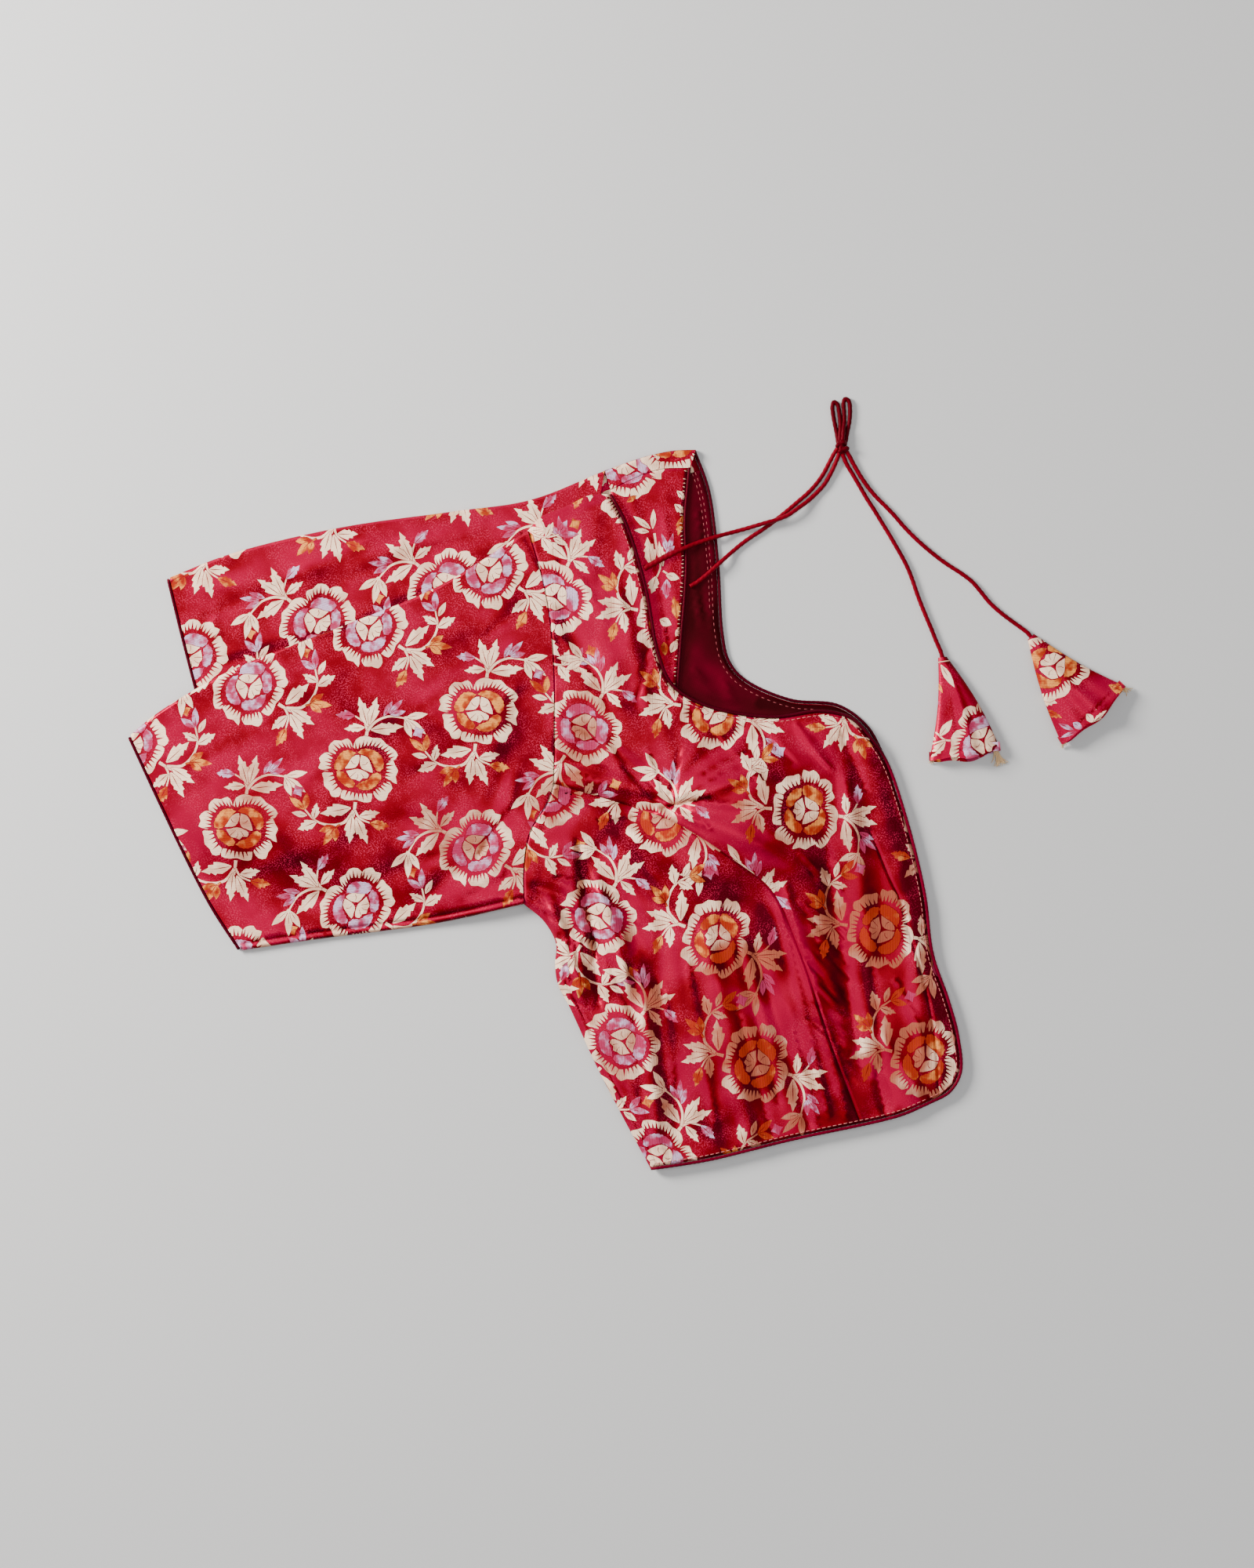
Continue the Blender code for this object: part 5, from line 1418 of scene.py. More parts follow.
def pixelPlaces(rows):
    # pixel x, y, direction of the fan in the picture, mirrored
    places = []
    for px, py, turn, mirrored in rows:
        x, y = fromPixel(px, py)
        places.append((x, y, turn - pixel["turn"], bool(mirrored)))
    return places


centreRoses = pixelPlaces([
    (708, 763, 62, 1), (746, 929, 56, 1), (856, 786, -12, 0), (911, 906, -10, 0), (1027, 1033, -4, 0),
    (1083, 864, 84, 1), (1124, 1185, -8, 0), (1202, 1036, 74, 1), (1180, 1350, -14, 0), (836, 1072, 52, 1),
    (940, 1188, 52, 1), (980, 1350, 52, 1), (812, 622, -16, 0), (1290, 1205, 62, 1), (690, 600, 60, 1),
])
sideRoses = pixelPlaces([
    (698, 1008, 58, 1), (765, 1170, 58, 1), (795, 1330, 50, 1), (842, 1478, 50, 1), (846, 1040, -22, 0),
    (915, 1195, -20, 0), (965, 1355, -14, 0), (1010, 1520, -14, 0), (650, 1240, -20, 0),
])


def addNearFront():
    freeEdge = movedRight(splineThrough(cut["neckNear"] + cut["frontEdge"][1:]), pipeStep)
    hem = movedRight(line["hem"], pipeStep)[::-1]
    seamShare = (cut["princess"][-1][0] - cut["hem"][-1][0]) / (cut["hem"][0][0] - cut["hem"][-1][0])
    hemLeft = atShares(hem, np.linspace(0, seamShare, 50))
    hemRight = atShares(hem, np.linspace(seamShare, 1, 30))
    princess = line["princess"][:-1]
    centreOutline = ringOf(
        byStep(line["shoulderNear"], 2.5), byStep(freeEdge, 2.2), byStep(hemRight[::-1], 2.5),
        byStep(princess[::-1], 2.5), byStep(line["armholeUpper"][::-1], 2.5),
    )
    sideOutline = ringOf(
        byStep(princess, 2.5), byStep(hemLeft[::-1], 2.5), byStep(line["sideEdge"][::-1], 2.0),
        byStep(line["armholeLower"][::-1], 2.5),
    )
    rows = list(near["stitched"].values())
    centre = skin(
        centreOutline, rolled(nearField, centreOutline), placedShapes(centreRoses), -72, rows=rows[:1]
    )
    side = skin(sideOutline, rolled(nearField, sideOutline), placedShapes(sideRoses), -76, rows=rows[1:])
    pieces = []
    for name, cloth, node in (
        ("front_centre_cloth", centre, "front_centre_near"), ("front_side_cloth", side, "front_side_near")
    ):
        piece = clothMesh(name, turnedEdge(cloth), finishes["brocade"])
        pieces.append(settle(piece, "brocade", node))
    return pieces, byStep(freeEdge, 1.2), byStep(hem[::-1], 1.2)


(centrePiece, sidePiece), freeEdge, hemEdge = addNearFront()
print("near front laid,", len(centrePiece.data.polygons), "and", len(sidePiece.data.polygons), "faces")


# sleeves, pressed flat

sleeves = {
    "nearFolds": [
        (-178, 44, -30, 66, 44.0, 2.6), (-120, 118, -20, 126, 12.0, 0.8), (-8, 40, 24, 96, 10.0, -0.9),
        (-60, -16, -8, 14, 9.0, -1.2), (-30, -26, -6, 30, 7.0, 0.9),
        (-150, 20, -96, 30, 7.0, 0.6), (-128, -6, -60, 2, 6.0, -0.6), (-96, 34, -60, 24, 7.0, -0.5),
        (-52, 52, -8, 64, 6.0, -0.6), (-40, 92, 8, 108, 6.0, 0.5), (-170, 84, -110, 100, 6.0, -0.5),
        (-112, 66, -70, 84, 8.0, 0.5), (-30, 0, -8, 20, 3.0, -0.7), (-22, -14, -4, 8, 2.4, 0.6),
        (-44, -24, -14, -16, 3.0, -0.7), (-70, -24, -40, -28, 3.0, 0.5), (-150, -16, -110, -22, 4.0, 0.5),
        (4, 84, 24, 92, 4.0, 0.5), (2, 120, 26, 132, 4.0, -0.5),
    ],
    "farFolds": [
        (-140, 180, -40, 178, 10.0, 0.9), (-60, 168, 20, 174, 8.0, -0.6),
        (-150, 164, -110, 172, 5.0, -0.5), (-100, 176, -60, 184, 5.0, 0.5), (-30, 180, 20, 178, 5.0, 0.4),
        (-160, 130, -150, 160, 5.0, 0.4), (40, 184, 70, 182, 4.0, -0.4),
    ],
    "calm": 26,
    "climb": (42, 34),               # the near one onto the far one: start outside its edge, length
    "uncovered": (-4, 14),           # the far one swells from here on, past what covers it
    "underShift": (30, -22, -4),     # of the pattern on the underside: x, y, degrees
    "seamRoll": (3.6, 0.8, 0.9),     # how far in, half width and depth of the groove beside the seam
}


def nearSleeveFloor(points):
    start, length = sleeves["climb"]
    return (level["sleeve"] + level["gap"]) * ramp((softDistance(points, "farSleeve") + start) / length)


def nearSleeveTop(points):
    calm = ramp(softDistance(points, "nearSleeve") / sleeves["calm"])
    folds = creased(points, sleeves["nearFolds"]) + ripple(points, 8, 1.2)
    inset, width, depth = sleeves["seamRoll"]
    away = edgeDistance(points, coarse("sleeveSeamNear"), closed=False)
    groove = depth * np.exp(-((away - inset) / width) ** 2)
    return nearSleeveFloor(points) + level["sleeve"] + folds * calm - groove


def farSleeveTop(points):
    covered = np.maximum(softDistance(points, "nearSleeve"), softDistance(points, "near"))
    start, length = sleeves["uncovered"]
    shows = ramp((start - covered) / length)
    return level["sleeve"] + (creased(points, sleeves["farFolds"]) + ripple(points, 5)) * shows


def tableTop(points):
    return np.zeros(points.shape[:-1])


def roundedBetween(top, floor, edges, half):
    # heights of the upper and lower side of cloth pressed flat, round along these edges
    def rounding(points):
        away = np.minimum.reduce([edgeDistance(points, edge, closed=False) for edge in edges])
        return np.sqrt(np.maximum(1 - np.clip(1 - away / half, 0, 1) ** 2, 0.0))

    def fromMiddle(points, side):
        middle, reach = (top(points) + floor(points)) / 2, (top(points) - floor(points)) / 2
        return middle + side * reach * rounding(points)

    def upper(points):
        return fromMiddle(points, 1)

    def lower(points):
        return np.maximum(fromMiddle(points, -1), 0.05)

    return upper, lower


def addSleeve(name, lines, top, floor, bloom, grain):
    fold, armhole, seam, cuff = (byStep(part, 2.2) for part in lines)
    cuff = byStep(movedRight(cuff, -pipeStep), 2.2)
    fold[0], seam[0] = cuff[0], cuff[-1]
    outline = ringOf(fold, armhole, seam[::-1], cuff[::-1])
    low, high = outline.min(axis=0), outline.max(axis=0)
    upper, lower = roundedBetween(top, floor, (fold, seam), level["sleeve"] / 2)
    insets = (0.12, 0.4, 0.9, 1.8, 2.8, 3.6, 4.4)
    x, y = bloom
    aside, along, turned = sleeves["underShift"]
    shapes = placedShapes(latticePlaces(x, y, grain, low, high))
    shapesUnder = placedShapes(latticePlaces(x + aside, y + along, grain + turned, low, high))
    cloth = merged(
        skin(outline, upper, shapes, grain, 3.0, insets),
        skin(outline, lower, shapesUnder, grain, 5.0, insets, side=-1),
    )
    piece = clothMesh(name + "_cloth", turnedEdge(cloth, cuff, 0.6, 9.0), finishes["brocade"])
    return settle(piece, "brocade", name)


armholeNear = np.vstack([line["armholeUpper"][:-1], line["armholeLower"]])
sleeveNearPiece = addSleeve(
    "sleeve_near", (line["foldNear"], armholeNear, line["sleeveSeamNear"], line["cuffNear"]),
    nearSleeveTop, nearSleeveFloor, (-87.5, 61), 13.4,
)
sleeveFarPiece = addSleeve(
    "sleeve_far", (line["foldFar"], line["armholeFar"], line["sleeveSeamFar"], line["cuffFar"]),
    farSleeveTop, tableTop, (-129.0, 76.8), 3.0,
)
print("sleeves laid,", len(sleeveNearPiece.data.polygons), "and", len(sleeveFarPiece.data.polygons), "faces")


# the far half below: front, lining, back strap and hidden layers

far = {
    "behind": 1.5,               # the far edges lie this far inside the near ones
    "liningFolds": [
        (122, 176, 120, 108, 5.0, 0.7), (131, 160, 126, 100, 3.0, 0.5), (112, 70, 122, 40, 5.0, 0.7),
        (126, 60, 130, 34, 4.0, 0.6), (104, 60, 112, 38, 3.0, -0.4), (140, 44, 138, 26, 4.0, 0.5),
        (112, 104, 128, 96, 5.0, -0.4), (150, 34, 176, 28, 3.0, 0.3),
    ],
    "strapFolds": [
        (96, 176, 92, 120, 6.0, 0.4), (112, 160, 106, 100, 4.0, 0.4), (104, 150, 100, 96, 3.0, -0.35),
        (98, 100, 92, 76, 3.0, 0.5), (104, 92, 98, 78, 2.4, -0.4), (94, 84, 104, 74, 2.0, 0.4),
    ],
    # folds rise from here on, past what covers the cloth: start, length
    "strapUncovered": (-1.5, 6),
    "liningUncovered": (-2, 6),
    "liningDip": -0.4,           # deepest fold of the lining
    "layerInsets": (1.3, 2.3, 1.7, 2.7),
    "layerFloor": 1.8,
    "layerClimb": (30, 12),      # start outside the edge of what lies below, length
    "layerBand": (5.5, 0.42),    # half width and half height of one band
    "layerClear": (0.5, 0.9),    # over what lies below, and under the near front
    "layerWave": (0.15, 0.31),   # height, and radians from point to point
}
shoulderRose = pixelPlaces([(797, 590, 72, 1)])
stripRose = pixelPlaces([(856, 558, 96, 0)])
strapSprigs = pixelSprigs([
    (830, 674, 808, 658, 3.6, "cream", 0), (833, 674, 834, 649, 3.4, "cream", 0),
    (828, 678, 809, 676, 3.2, "cream", 0), (832, 722, 826, 685, 7.4, "cream", 1),
    (846, 722, 841, 690, 4.4, "cream", 1), (852, 704, 844, 680, 3.0, "lilac", 0),
    (853, 704, 859, 680, 3.0, "lilac", 0), (850, 706, 861, 696, 3.6, "lilac", 0),
    (864, 626, 875, 636, 3.6, "cream", 1), (861, 643, 874, 655, 4.4, "cream", 1),
    (871, 658, 865, 683, 4.6, "gold", 1), (837, 735, 831, 757, 6.4, "cream", 1),
    (850, 733, 867, 738, 4.8, "cream", 0), (851, 739, 850, 764, 6.0, "lilac", 1),
    (864, 789, 860, 760, 5.6, "gold", 1), (842, 790, 857, 797, 5.4, "cream", 0),
    (856, 832, 864, 816, 4.6, "cream", 0), (847, 819, 849, 836, 4.6, "gold", 0),
    (868, 800, 862, 812, 3.0, "cream", 0), (800, 640, 812, 632, 3.0, "gold", 0),
], [([(835, 680), (838, 700), (843, 722), (838, 736)], 1.3), ([(846, 728), (856, 734), (866, 736)], 1.0)])


def strapTop(points):
    start, length = far["strapUncovered"]
    shows = ramp((start - softDistance(points, "near")) / length)
    return level["backTop"] + creased(points, far["strapFolds"]) * shows


def liningTop(points):
    covered = np.maximum(softDistance(points, "strap"), softDistance(points, "near"))
    start, length = far["liningUncovered"]
    folds = creased(points, far["liningFolds"]) + ripple(points, 12, 0.8)
    folds = np.maximum(folds, far["liningDip"]) * ramp((start - covered) / length)
    return level["liningFloor"] + level["lining"] + folds


def hiddenFloor(points):
    lowest = far["layerFloor"]
    start, length = far["layerClimb"]
    floor = np.full(points.shape[:-1], lowest)
    lying = (
        (softOutlines["farSleeve"], level["sleeve"] + level["gap"]),
        (softOutlines["strap"], level["backTop"] + level["gap"]),
        (liningOutline, level["liningFloor"] + level["lining"] + level["gap"]),
    )
    for outline, top in lying:
        climb = ramp((edgeDistance(points, outline) + start) / length)
        floor = np.maximum(floor, lowest + (top - lowest) * climb)
    return floor


liningOutline = ringOf(
    coarse("neckFar"), np.array([cut["neckFar"][-1], cut["liningHidden"][-1]], float),
    coarse("liningHidden")[::-1], np.array([cut["liningHidden"][0], cut["neckFar"][0]], float),
)


def addFarFront():
    side = movedRight(line["sideEdge"], -far["behind"])
    neck = movedRight(line["neckFar"], pipeStep)
    front = movedRight(line["frontEdge"], pipeStep + far["behind"])[8:]
    hem = movedRight(line["hem"], pipeStep + far["behind"])
    shoulder = byStep(line["shoulderFar"], 2.4)
    edge = byStep(np.vstack([neck, front, hem[4:]]), 3.0)
    outline = ringOf(
        shoulder, edge, byStep(side[::-1], 3.0), byStep(line["armholeFar"][::-1], 3.0),
    )
    half = level["backTop"] / 2

    def fullTop(points):
        return np.full(points.shape[:-1], level["backTop"])

    upper, lower = roundedBetween(fullTop, tableTop, (shoulder,), half)
    low, high = outline.min(axis=0), outline.max(axis=0)
    shapes = placedShapes(latticePlaces(90, -40, 10, low, high))
    below = skin(outline, rolled(lower, outline, 0.4, -1), shapes, 10, 5.0, (0.4, 1.2), side=-1)
    seam = byStep(line["shoulderSeamFar"], 2.4)
    strip = ringOf(
        shoulder, straight(shoulder[-1], seam[-1], 2.4), seam[::-1],
        straight(seam[0], shoulder[0], 2.4),
    )
    shapes = placedShapes(shoulderRose + stripRose, True)
    above = skin(strip, upper, shapes, 100, 2.2, (0.15, 0.5, 1.0, 1.8))
    cloth = turnedEdge(turnedEdge(merged(below, above), edge, rimDye=4), seam, 0.5, 1.5)
    piece = clothMesh("front_far_cloth", cloth, finishes["brocade"])
    return settle(piece, "brocade", "front_far"), edge


def addLining():
    neck = movedRight(line["neckFar"], pipeStep + 0.4)[8:-8]
    hidden = byStep(line["liningHidden"], 4)
    outline = ringOf(
        byStep(neck, 2.4), straight(neck[-1], hidden[-1], 3), hidden[::-1],
        straight(hidden[0], neck[0], 3),
    )
    cloth = turnedEdge(skin(outline, rolled(liningTop, outline, 0.4), [], 90, 2.8), None, 0.4, 1.5)
    piece = clothMesh("far_lining_cloth", cloth, finishes["lining"])
    return settle(piece, "lining", "front_far_lining"), neck


def addStrap():
    neck = byStep(movedRight(line["backNeck"], pipeStep), 2.0)
    hidden = byStep(line["backHidden"], 4)
    outline = ringOf(
        byStep(line["shoulderSeamFar"], 2.4), neck, straight(neck[-1], hidden[-1], 3),
        hidden[::-1],
    )
    shapes = placedShapes(shoulderRose, True) + strapSprigs
    cloth = turnedEdge(skin(outline, rolled(strapTop, outline, 0.6), shapes, 96, 2.4), None, 0.6, 2)
    piece = clothMesh("back_strap_cloth", cloth, finishes["brocade"])
    return settle(piece, "brocade", "back_far"), neck


def addHiddenLayers():
    # edges of the folded layers between the near and the far front
    corner = splineThrough(cut["neckNear"] + cut["frontEdge"][1:] + cut["hem"][1:])
    walk = np.vstack([
        line["shoulderNear"][:-1], corner[:-1], line["sideEdge"][::-1][:-1], line["armholeLower"][::-1][:-1],
        line["armholeUpper"][::-1],
    ])
    shape = bmesh.new()
    clearBelow, clearAbove = far["layerClear"]
    waveHeight, waveTurn = far["layerWave"]
    for number, inset in enumerate(far["layerInsets"]):
        path = byStep(movedRight(byStep(walk, 5.0), inset + 1.2), 3.0)[:-1]
        low = hiddenFloor(path) + clearBelow
        high = nearEdgeField(path) - level["cloth"] - clearAbove
        height = low + (np.maximum(high, low + 0.6) - low) * number / (len(far["layerInsets"]) - 1)
        wave = waveHeight * np.sin(np.arange(len(path)) * waveTurn + number * 2)

        def band(run, angle):
            halfWidth, halfHeight = far["layerBand"]
            return 1 / np.sqrt((np.cos(angle) / halfWidth) ** 2 + (np.sin(angle) / halfHeight) ** 2)

        centre = movedRight(path, 5.0)
        addTube(shape, np.column_stack([centre, height + wave]), band, 12, closed=True)
    return settle(madeOf("hidden_layers_cloth", shape, finishes["lining"]), "lining", "folded_layers")


farFrontPiece, farEdge = addFarFront()
liningPiece, liningNeck = addLining()
strapPiece, strapNeck = addStrap()
layersPiece = addHiddenLayers()
print("far half laid")


# piping and stitching

piping = {
    "radius": 0.95,
    "lobes": 0.07,
    "twist": 2.6,
    "around": 10,
    "step": 0.8,
    "outside": 1.1,              # its middle lies this far outside the cloth's edge
    "clear": 0.05,               # above what it lies on
    # cuffs: inside the edge, share left out at both ends, points along it, least rise over the underside
    "cuff": (0.8, 0.008, 110, 0.2),
    # where a highlight is painted on it: x and y with the width that it takes, and along the hem with its
    # share
    "paintedHighlightFront": (196, 14, 10, 20),
    "paintedHighlightHem": (-184, 10, 0.6),
}


def pipingRadius(run, angle):
    # fabric strip round a twisted filler cord
    turn = 2 * math.pi * run / piping["twist"]
    return piping["radius"] * (1 - piping["lobes"] * (1 + np.cos(2 * angle - turn)))


def atHeight(path, height):
    return np.column_stack([path, np.full(len(path), height)])


def addPiping(node, path, closed=False):
    piece = tubeMesh(node + "_cord", [path], pipingRadius, piping["around"], finishes["piping"], closed)
    spots = np.array([tuple(vertex.co) for vertex in piece.data.vertices]) / mm
    # painted highlight along the front edge and the hem
    x, overX, y, overY = piping["paintedHighlightFront"]
    atFront = ramp((spots[:, 0] - x) / overX) * ramp((y - spots[:, 1]) / overY)
    hem, overHem, share = piping["paintedHighlightHem"]
    atHem = ramp((hem - spots[:, 1]) / overHem) * share
    made = piece.data.attributes.new("paintedHighlight", "FLOAT", "POINT")
    made.data.foreach_set("value", np.maximum(atFront, atHem).astype(np.float32))
    return settle(piece, "piping", node)


def cuffRing(cuff, floor, top):
    inset, left, count, rise = piping["cuff"]
    inside = atShares(movedRight(cuff, -inset), np.linspace(left, 1 - left, count))
    lift = piping["radius"] + piping["clear"]
    above = np.column_stack([inside, np.maximum(top(inside) - lift, floor(inside) + lift + rise)])
    below = np.column_stack([inside, floor(inside) + lift])[::-1]
    return np.vstack([above, below])


def addPipings():
    edge = byStep(np.vstack([freeEdge[:-1], hemEdge[1:]]), piping["step"])
    outside = movedRight(edge, -piping["outside"])
    addPiping("piping_near", np.column_stack([outside, nearField(edge) - level["cloth"] / 2]))
    outside = byStep(movedRight(farEdge, -piping["outside"]), piping["step"])
    addPiping("piping_far", atHeight(outside, piping["radius"] + piping["clear"]))
    outside = byStep(movedRight(strapNeck, -piping["outside"]), piping["step"])
    addPiping("piping_back", atHeight(outside, level["backTop"] - 0.6))
    addPiping("piping_cuff_near", cuffRing(line["cuffNear"], nearSleeveFloor, nearSleeveTop), closed=True)
    addPiping("piping_cuff_far", cuffRing(line["cuffFar"], tableTop, farSleeveTop), closed=True)


addPipings()

stitching = {
    "length": 2.0,
    "gap": 1.1,
    "radius": 0.19,
    "inset": 1.7,
    # lining: how far in each row lies, and the share of the neck that it runs along
    "liningRows": ((2.6, 1.0), (4.4, 0.38)),
    "liningLength": 1.7,
    "liningGap": 1.9,
    "overcastStep": 2.3,         # short stitches across the strap's neck edge
    "overcastReach": (0.3, 1.7),
    "overcastMissed": 0.28,
    # heights of a stitch above the cloth, from end to end
    "arch": (-0.15, 0.08, 0.14, 0.08, -0.15),
    "overcastArch": (-0.1, 0.16, 0.2, 0.14, -0.15),
}


def addStitches(name, path, top, finish="stitch", length=stitching["length"], gap=stitching["gap"]):
    # dashes of thread that dip into the cloth at both ends
    run = lengthOf(path)
    pitch = length + gap
    count = int(run / pitch)
    paths = []
    for k in range(count):
        shares = (k * pitch + np.linspace(0, length, 5)) / run
        spots = atShares(path, shares)
        height = top(spots) + np.array(stitching["arch"])
        paths.append(np.column_stack([spots, height]))
    return settle(threadMesh(name, paths, finish), "piping")


def threadMesh(name, paths, finish, radius=stitching["radius"]):
    return tubeMesh(name, paths, lambda run, angle: np.full(len(angle), radius), 6, finishes[finish])


def addOvercast(name, path, top):
    draw = random.Random(6)
    nearer, further = stitching["overcastReach"]
    paths = []
    path = byStep(path, stitching["overcastStep"])
    inner, outer = movedRight(path, nearer), movedRight(path, further)
    for k in range(1, len(path) - 1):
        end = outer[k] + np.array([0, draw.uniform(-0.5, 0.5)])
        if draw.random() < stitching["overcastMissed"]:
            continue
        spots = np.linspace(inner[k], inner[k] + (end - inner[k]) * draw.uniform(0.6, 1.1), 5)
        height = top(spots) + np.array(stitching["overcastArch"])
        paths.append(np.column_stack([spots, height]))
    return settle(threadMesh(name, paths, "overcast"), "piping")


addStitches("stitches_near", movedRight(freeEdge, stitching["inset"]), nearField)
addStitches("stitches_hem", movedRight(hemEdge, stitching["inset"]), nearField)
for row, (inset, share) in enumerate(stitching["liningRows"]):
    seam = atShares(movedRight(byStep(liningNeck, 2), inset), np.linspace(0, share, 150))
    addStitches(
        "stitches_lining_" + "ab"[row], seam, liningTop, "liningStitch", stitching["liningLength"],
        stitching["liningGap"],
    )
addOvercast("stitches_strap", strapNeck, strapTop)
print("piping and stitches laid")


# cloth cone tassels

tassel = {
    # tip x, y, both ends of the mouth x, y, how far the mouth bows out, how far the cone sways sideways
    "cones": {
        "tassel_left": (249.2, 51.2, 229.0, -4.5, 270.0, -7.5, 1.4, 2.3),
        "tassel_right": (300.8, 51.6, 304.5, -12.0, 347.0, 12.5, 2.2, -2.0),
    },
    "lip": 1.5,                  # the lower side stands out this far at the mouth
    "waves": (1.1, 5.2, 0.8),    # of the mouth's edge: height, radians for each half, start
    "tip": 2.4,
    "tipHeight": 3.8,
    "mouthHeight": 8.5,
    "flare": 0.98,
    "swell": 0.8,
    "roses": {
        "tassel_left": pixelPlaces([(1256, 944, 172, 1)]),
        "tassel_right": pixelPlaces([(1344, 848, -66, 0)]),
    },
    "sprigs": {
        "tassel_left": pixelSprigs([
            (1201, 848, 1218, 877, 4.2, "cream", 0), (1199, 939, 1215, 918, 4.8, "cream", 0),
            (1206, 946, 1188, 966, 5.4, "cream", 1), (1194, 944, 1184, 938, 2.6, "cream", 0),
            (1192, 972, 1202, 970, 2.4, "gold", 0), (1186, 886, 1201, 900, 2.8, "lilac", 0),
            (1196, 870, 1203, 884, 2.2, "gold", 0),
        ], [([(1222, 944), (1206, 944), (1194, 934)], 1.2), ([(1206, 944), (1186, 950)], 1.0)]),
        "tassel_right": pixelSprigs([
            (1326, 892, 1349, 897, 5.4, "cream", 1), (1334, 906, 1355, 916, 4.0, "gold", 1),
            (1351, 923, 1371, 932, 2.8, "lilac", 0), (1373, 933, 1353, 941, 2.4, "lilac", 0),
            (1369, 922, 1381, 930, 4.2, "lilac", 0), (1386, 911, 1395, 922, 4.4, "cream", 0),
            (1395, 921, 1412, 906, 3.8, "cream", 1), (1415, 874, 1438, 884, 5.4, "gold", 1),
        ]),
    },
    "wrap": (0.045, 0.3),        # pale thread round the left tip: share of the cone, radius
    "foldHeight": 0.6,
    "seam": (0.35, 0.93, 0.018),  # groove beside the mouth: depth, share of the cone, half width
    # frayed threads: cone, place along the mouth from -1 to 1, direction in degrees, count, length, spread
    "frays": [
        ("tassel_left", 0.88, -84, 44, 9.0, 9), ("tassel_left", -0.9, -100, 8, 2.0, 30),
        ("tassel_right", 0.95, -48, 14, 5.0, 12), ("tassel_right", -0.95, -62, 10, 2.2, 34),
    ],
    "frayRadius": 0.22,
    "frayStart": (-0.07, 0.05, -1.2),    # scatter along the mouth, and how far inside it they start
    "frayLength": (0.45, 1.05),  # times the stated length
    "frayBend": 0.5,
    "frayFloor": 0.5,            # height of the threads' ends
    "frayDrop": (0.8, 2.6),      # they start this much higher
}


def coneFrame(cone):
    # tip, middle of the mouth, length, directions along and across, half the mouth's width
    x, y, ax, ay, bx, by = cone[:6]
    tip, left, right = np.array([x, y]), np.array([ax, ay]), np.array([bx, by])
    mouth = (left + right) / 2
    length = np.linalg.norm(mouth - tip)
    width = np.linalg.norm(right - left)
    return tip, mouth, length, (mouth - tip) / length, (right - left) / width, width / 2


def coneAt(cone, points):
    # share from tip to mouth and place across, for points seen from above
    bow, sway = cone[6:]
    tip, mouth, length, axis, across, mouthHalf = coneFrame(cone)
    normal = np.array([-axis[1], axis[0]])
    share = (points - tip) @ axis / length
    reach = np.zeros(len(points))
    for _ in range(6):
        half = tassel["tip"] + (mouthHalf - tassel["tip"]) * np.clip(share, 0, 1) ** tassel["flare"]
        aside = sway * np.sin(math.pi * np.clip(share, 0, 1))
        reach = ((points - tip) @ normal / (across @ normal) - aside) / half
        bowed = bow * share ** 2 * (1 - np.clip(reach, -1, 1) ** 2)
        slide = (half * reach + aside) * (across @ axis) + bowed
        share = ((points - tip) @ axis - slide) / length
    return np.clip(share, 0, 1), np.clip(reach, -1, 1)


def coneRing(cone, share, reach):
    bow, sway = cone[6:]
    tip, mouth, length, axis, across, mouthHalf = coneFrame(cone)
    half = tassel["tip"] + (mouthHalf - tassel["tip"]) * share ** tassel["flare"]
    aside = half * reach + sway * np.sin(math.pi * share)
    spot = tip + (mouth - tip) * share[:, None] + across * aside[:, None]
    return spot + axis * (bow * share ** 2 * (1 - reach ** 2))[:, None]


def coneHeight(share):
    return tassel["tipHeight"] + (tassel["mouthHeight"] - tassel["tipHeight"]) * share ** tassel["swell"]


def mouthAt(cone, reach, further):
    # the mouth's wavy edge; further moves it outward
    axis = coneFrame(cone)[3]
    height, turn, first = tassel["waves"]
    wave = height * np.sin(reach * turn + first) * (1 - reach ** 2) + further * (1 - reach ** 4)
    return coneRing(cone, np.ones(len(reach)), reach) + axis * wave[:, None]


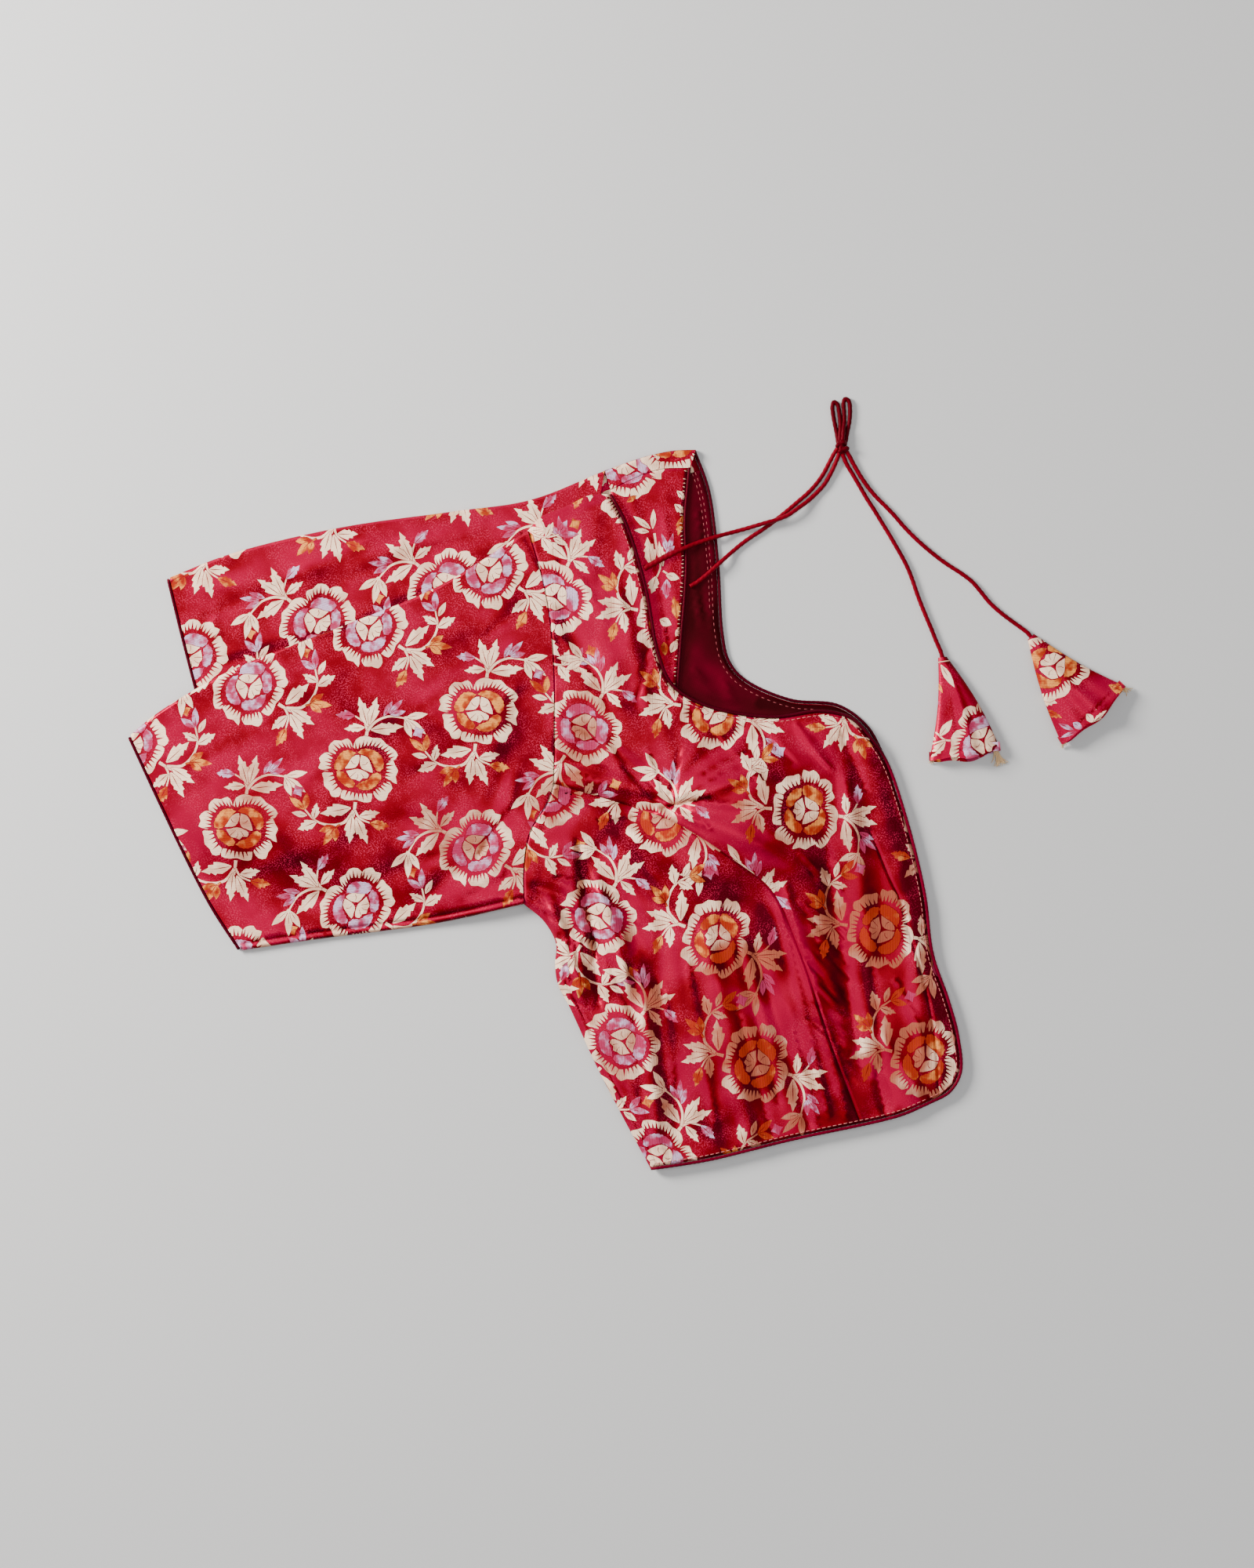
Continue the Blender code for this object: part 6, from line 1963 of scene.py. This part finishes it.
def addTassel(name, cone):
    shares = np.linspace(0, 1, 30)
    ones = np.ones(30)
    reaches = np.linspace(-1, 1, 30)
    sides = []
    for further in (-0.4, tassel["lip"]):
        sides.append(ringOf(
            coneRing(cone, shares, -ones), mouthAt(cone, reaches, further),
            coneRing(cone, shares[::-1], ones), coneRing(cone, np.zeros(4), np.linspace(1, -1, 4)),
        ))
    edge = byStep(mouthAt(cone, reaches, -0.4), 1.0)

    def upper(points):
        share, reach = coneAt(cone, points)
        waves = np.sin(reach * 5.0 + 0.6) + 0.7 * np.sin(reach * 11.0)
        folds = tassel["foldHeight"] * share * waves * (1 - reach ** 2)
        depth, place, width = tassel["seam"]
        folds -= depth * np.exp(-((share - place) / width) ** 2) * (1 - reach ** 2)
        return coneHeight(share) / 2 * (1 + np.sqrt(np.maximum(1 - reach ** 2, 0))) + folds

    def lower(points):
        share, reach = coneAt(cone, points)
        return np.maximum(coneHeight(share) / 2 * (1 - np.sqrt(np.maximum(1 - reach ** 2, 0))) ** 2, 0.04)

    insets = (0.1, 0.3, 0.7, 1.3, 2.2)
    shapes = tassel["sprigs"][name] + placedShapes(tassel["roses"][name], True)
    top = turnedEdge(skin(sides[0], upper, shapes, 20, 1.7, insets), edge, 0.6, 5.0)
    cloth = merged(top, skin(sides[1], lower, shapes, 20, 3.0, insets, side=-1))
    piece = clothMesh(name + "_cloth", cloth, finishes["brocade"])
    return settle(piece, "brocade", name)


def addWrap():
    # one turn of pale thread round the left cone's tip
    share, radius = tassel["wrap"]
    reach = np.linspace(-1, 1, 24)
    spot = coneRing(tassel["cones"]["tassel_left"], np.full(24, share), reach)
    high = coneHeight(share) / 2 * (1 + np.sqrt(1 - reach ** 2)) + 0.12
    path = np.column_stack([spot, high])
    return settle(threadMesh("tassel_left_wrap", [path], "overcast", radius), "cord")


def addFrays():
    draw = random.Random(21)
    left, right, inside = tassel["frayStart"]
    paths = []
    for name, reach, turn, count, length, spread in tassel["frays"]:
        cone = tassel["cones"][name]
        for _ in range(count):
            start = mouthAt(cone, np.array([reach + draw.uniform(left, right)]), inside)[0]
            angle = math.radians(turn + draw.uniform(-spread, spread))
            reached = length * draw.uniform(*tassel["frayLength"])
            bend = draw.uniform(-tassel["frayBend"], tassel["frayBend"])
            points = []
            for step in np.linspace(0, 1, 6):
                heading = angle + bend * step
                x, y = start + np.array([math.cos(heading), math.sin(heading)]) * reached * step
                drop = draw.uniform(*tassel["frayDrop"]) * (1 - step)
                points.append((x, y, tassel["frayFloor"] + drop + 0.25 * abs(math.sin(7 * step))))
            paths.append(splineThrough(points, 3))
    return settle(threadMesh("tassel_frays", paths, "fray", tassel["frayRadius"]), "brocade")


tassels = {name: addTassel(name, cone) for name, cone in tassel["cones"].items()}
addWrap()
addFrays()
print("tassels made")

for name, (piece, path) in cords.items():
    carried, end = [], "knot"
    if name == "dori_near":
        carried = [knotPiece]
    if name.startswith("tail"):
        carried, end = [tassels[name.replace("tail", "tassel")]], "fitting"
    lengthOf(path) * mm
    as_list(carried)


def declareSheets(pieces):
    for piece in pieces:
        found = sum(face.area for face in piece.data.polygons)
        print(piece.name, "cloth area", round(found, 4), "square metres")


declareSheets((
    centrePiece, sidePiece, sleeveNearPiece, sleeveFarPiece,
    farFrontPiece, liningPiece, strapPiece, layersPiece,
))
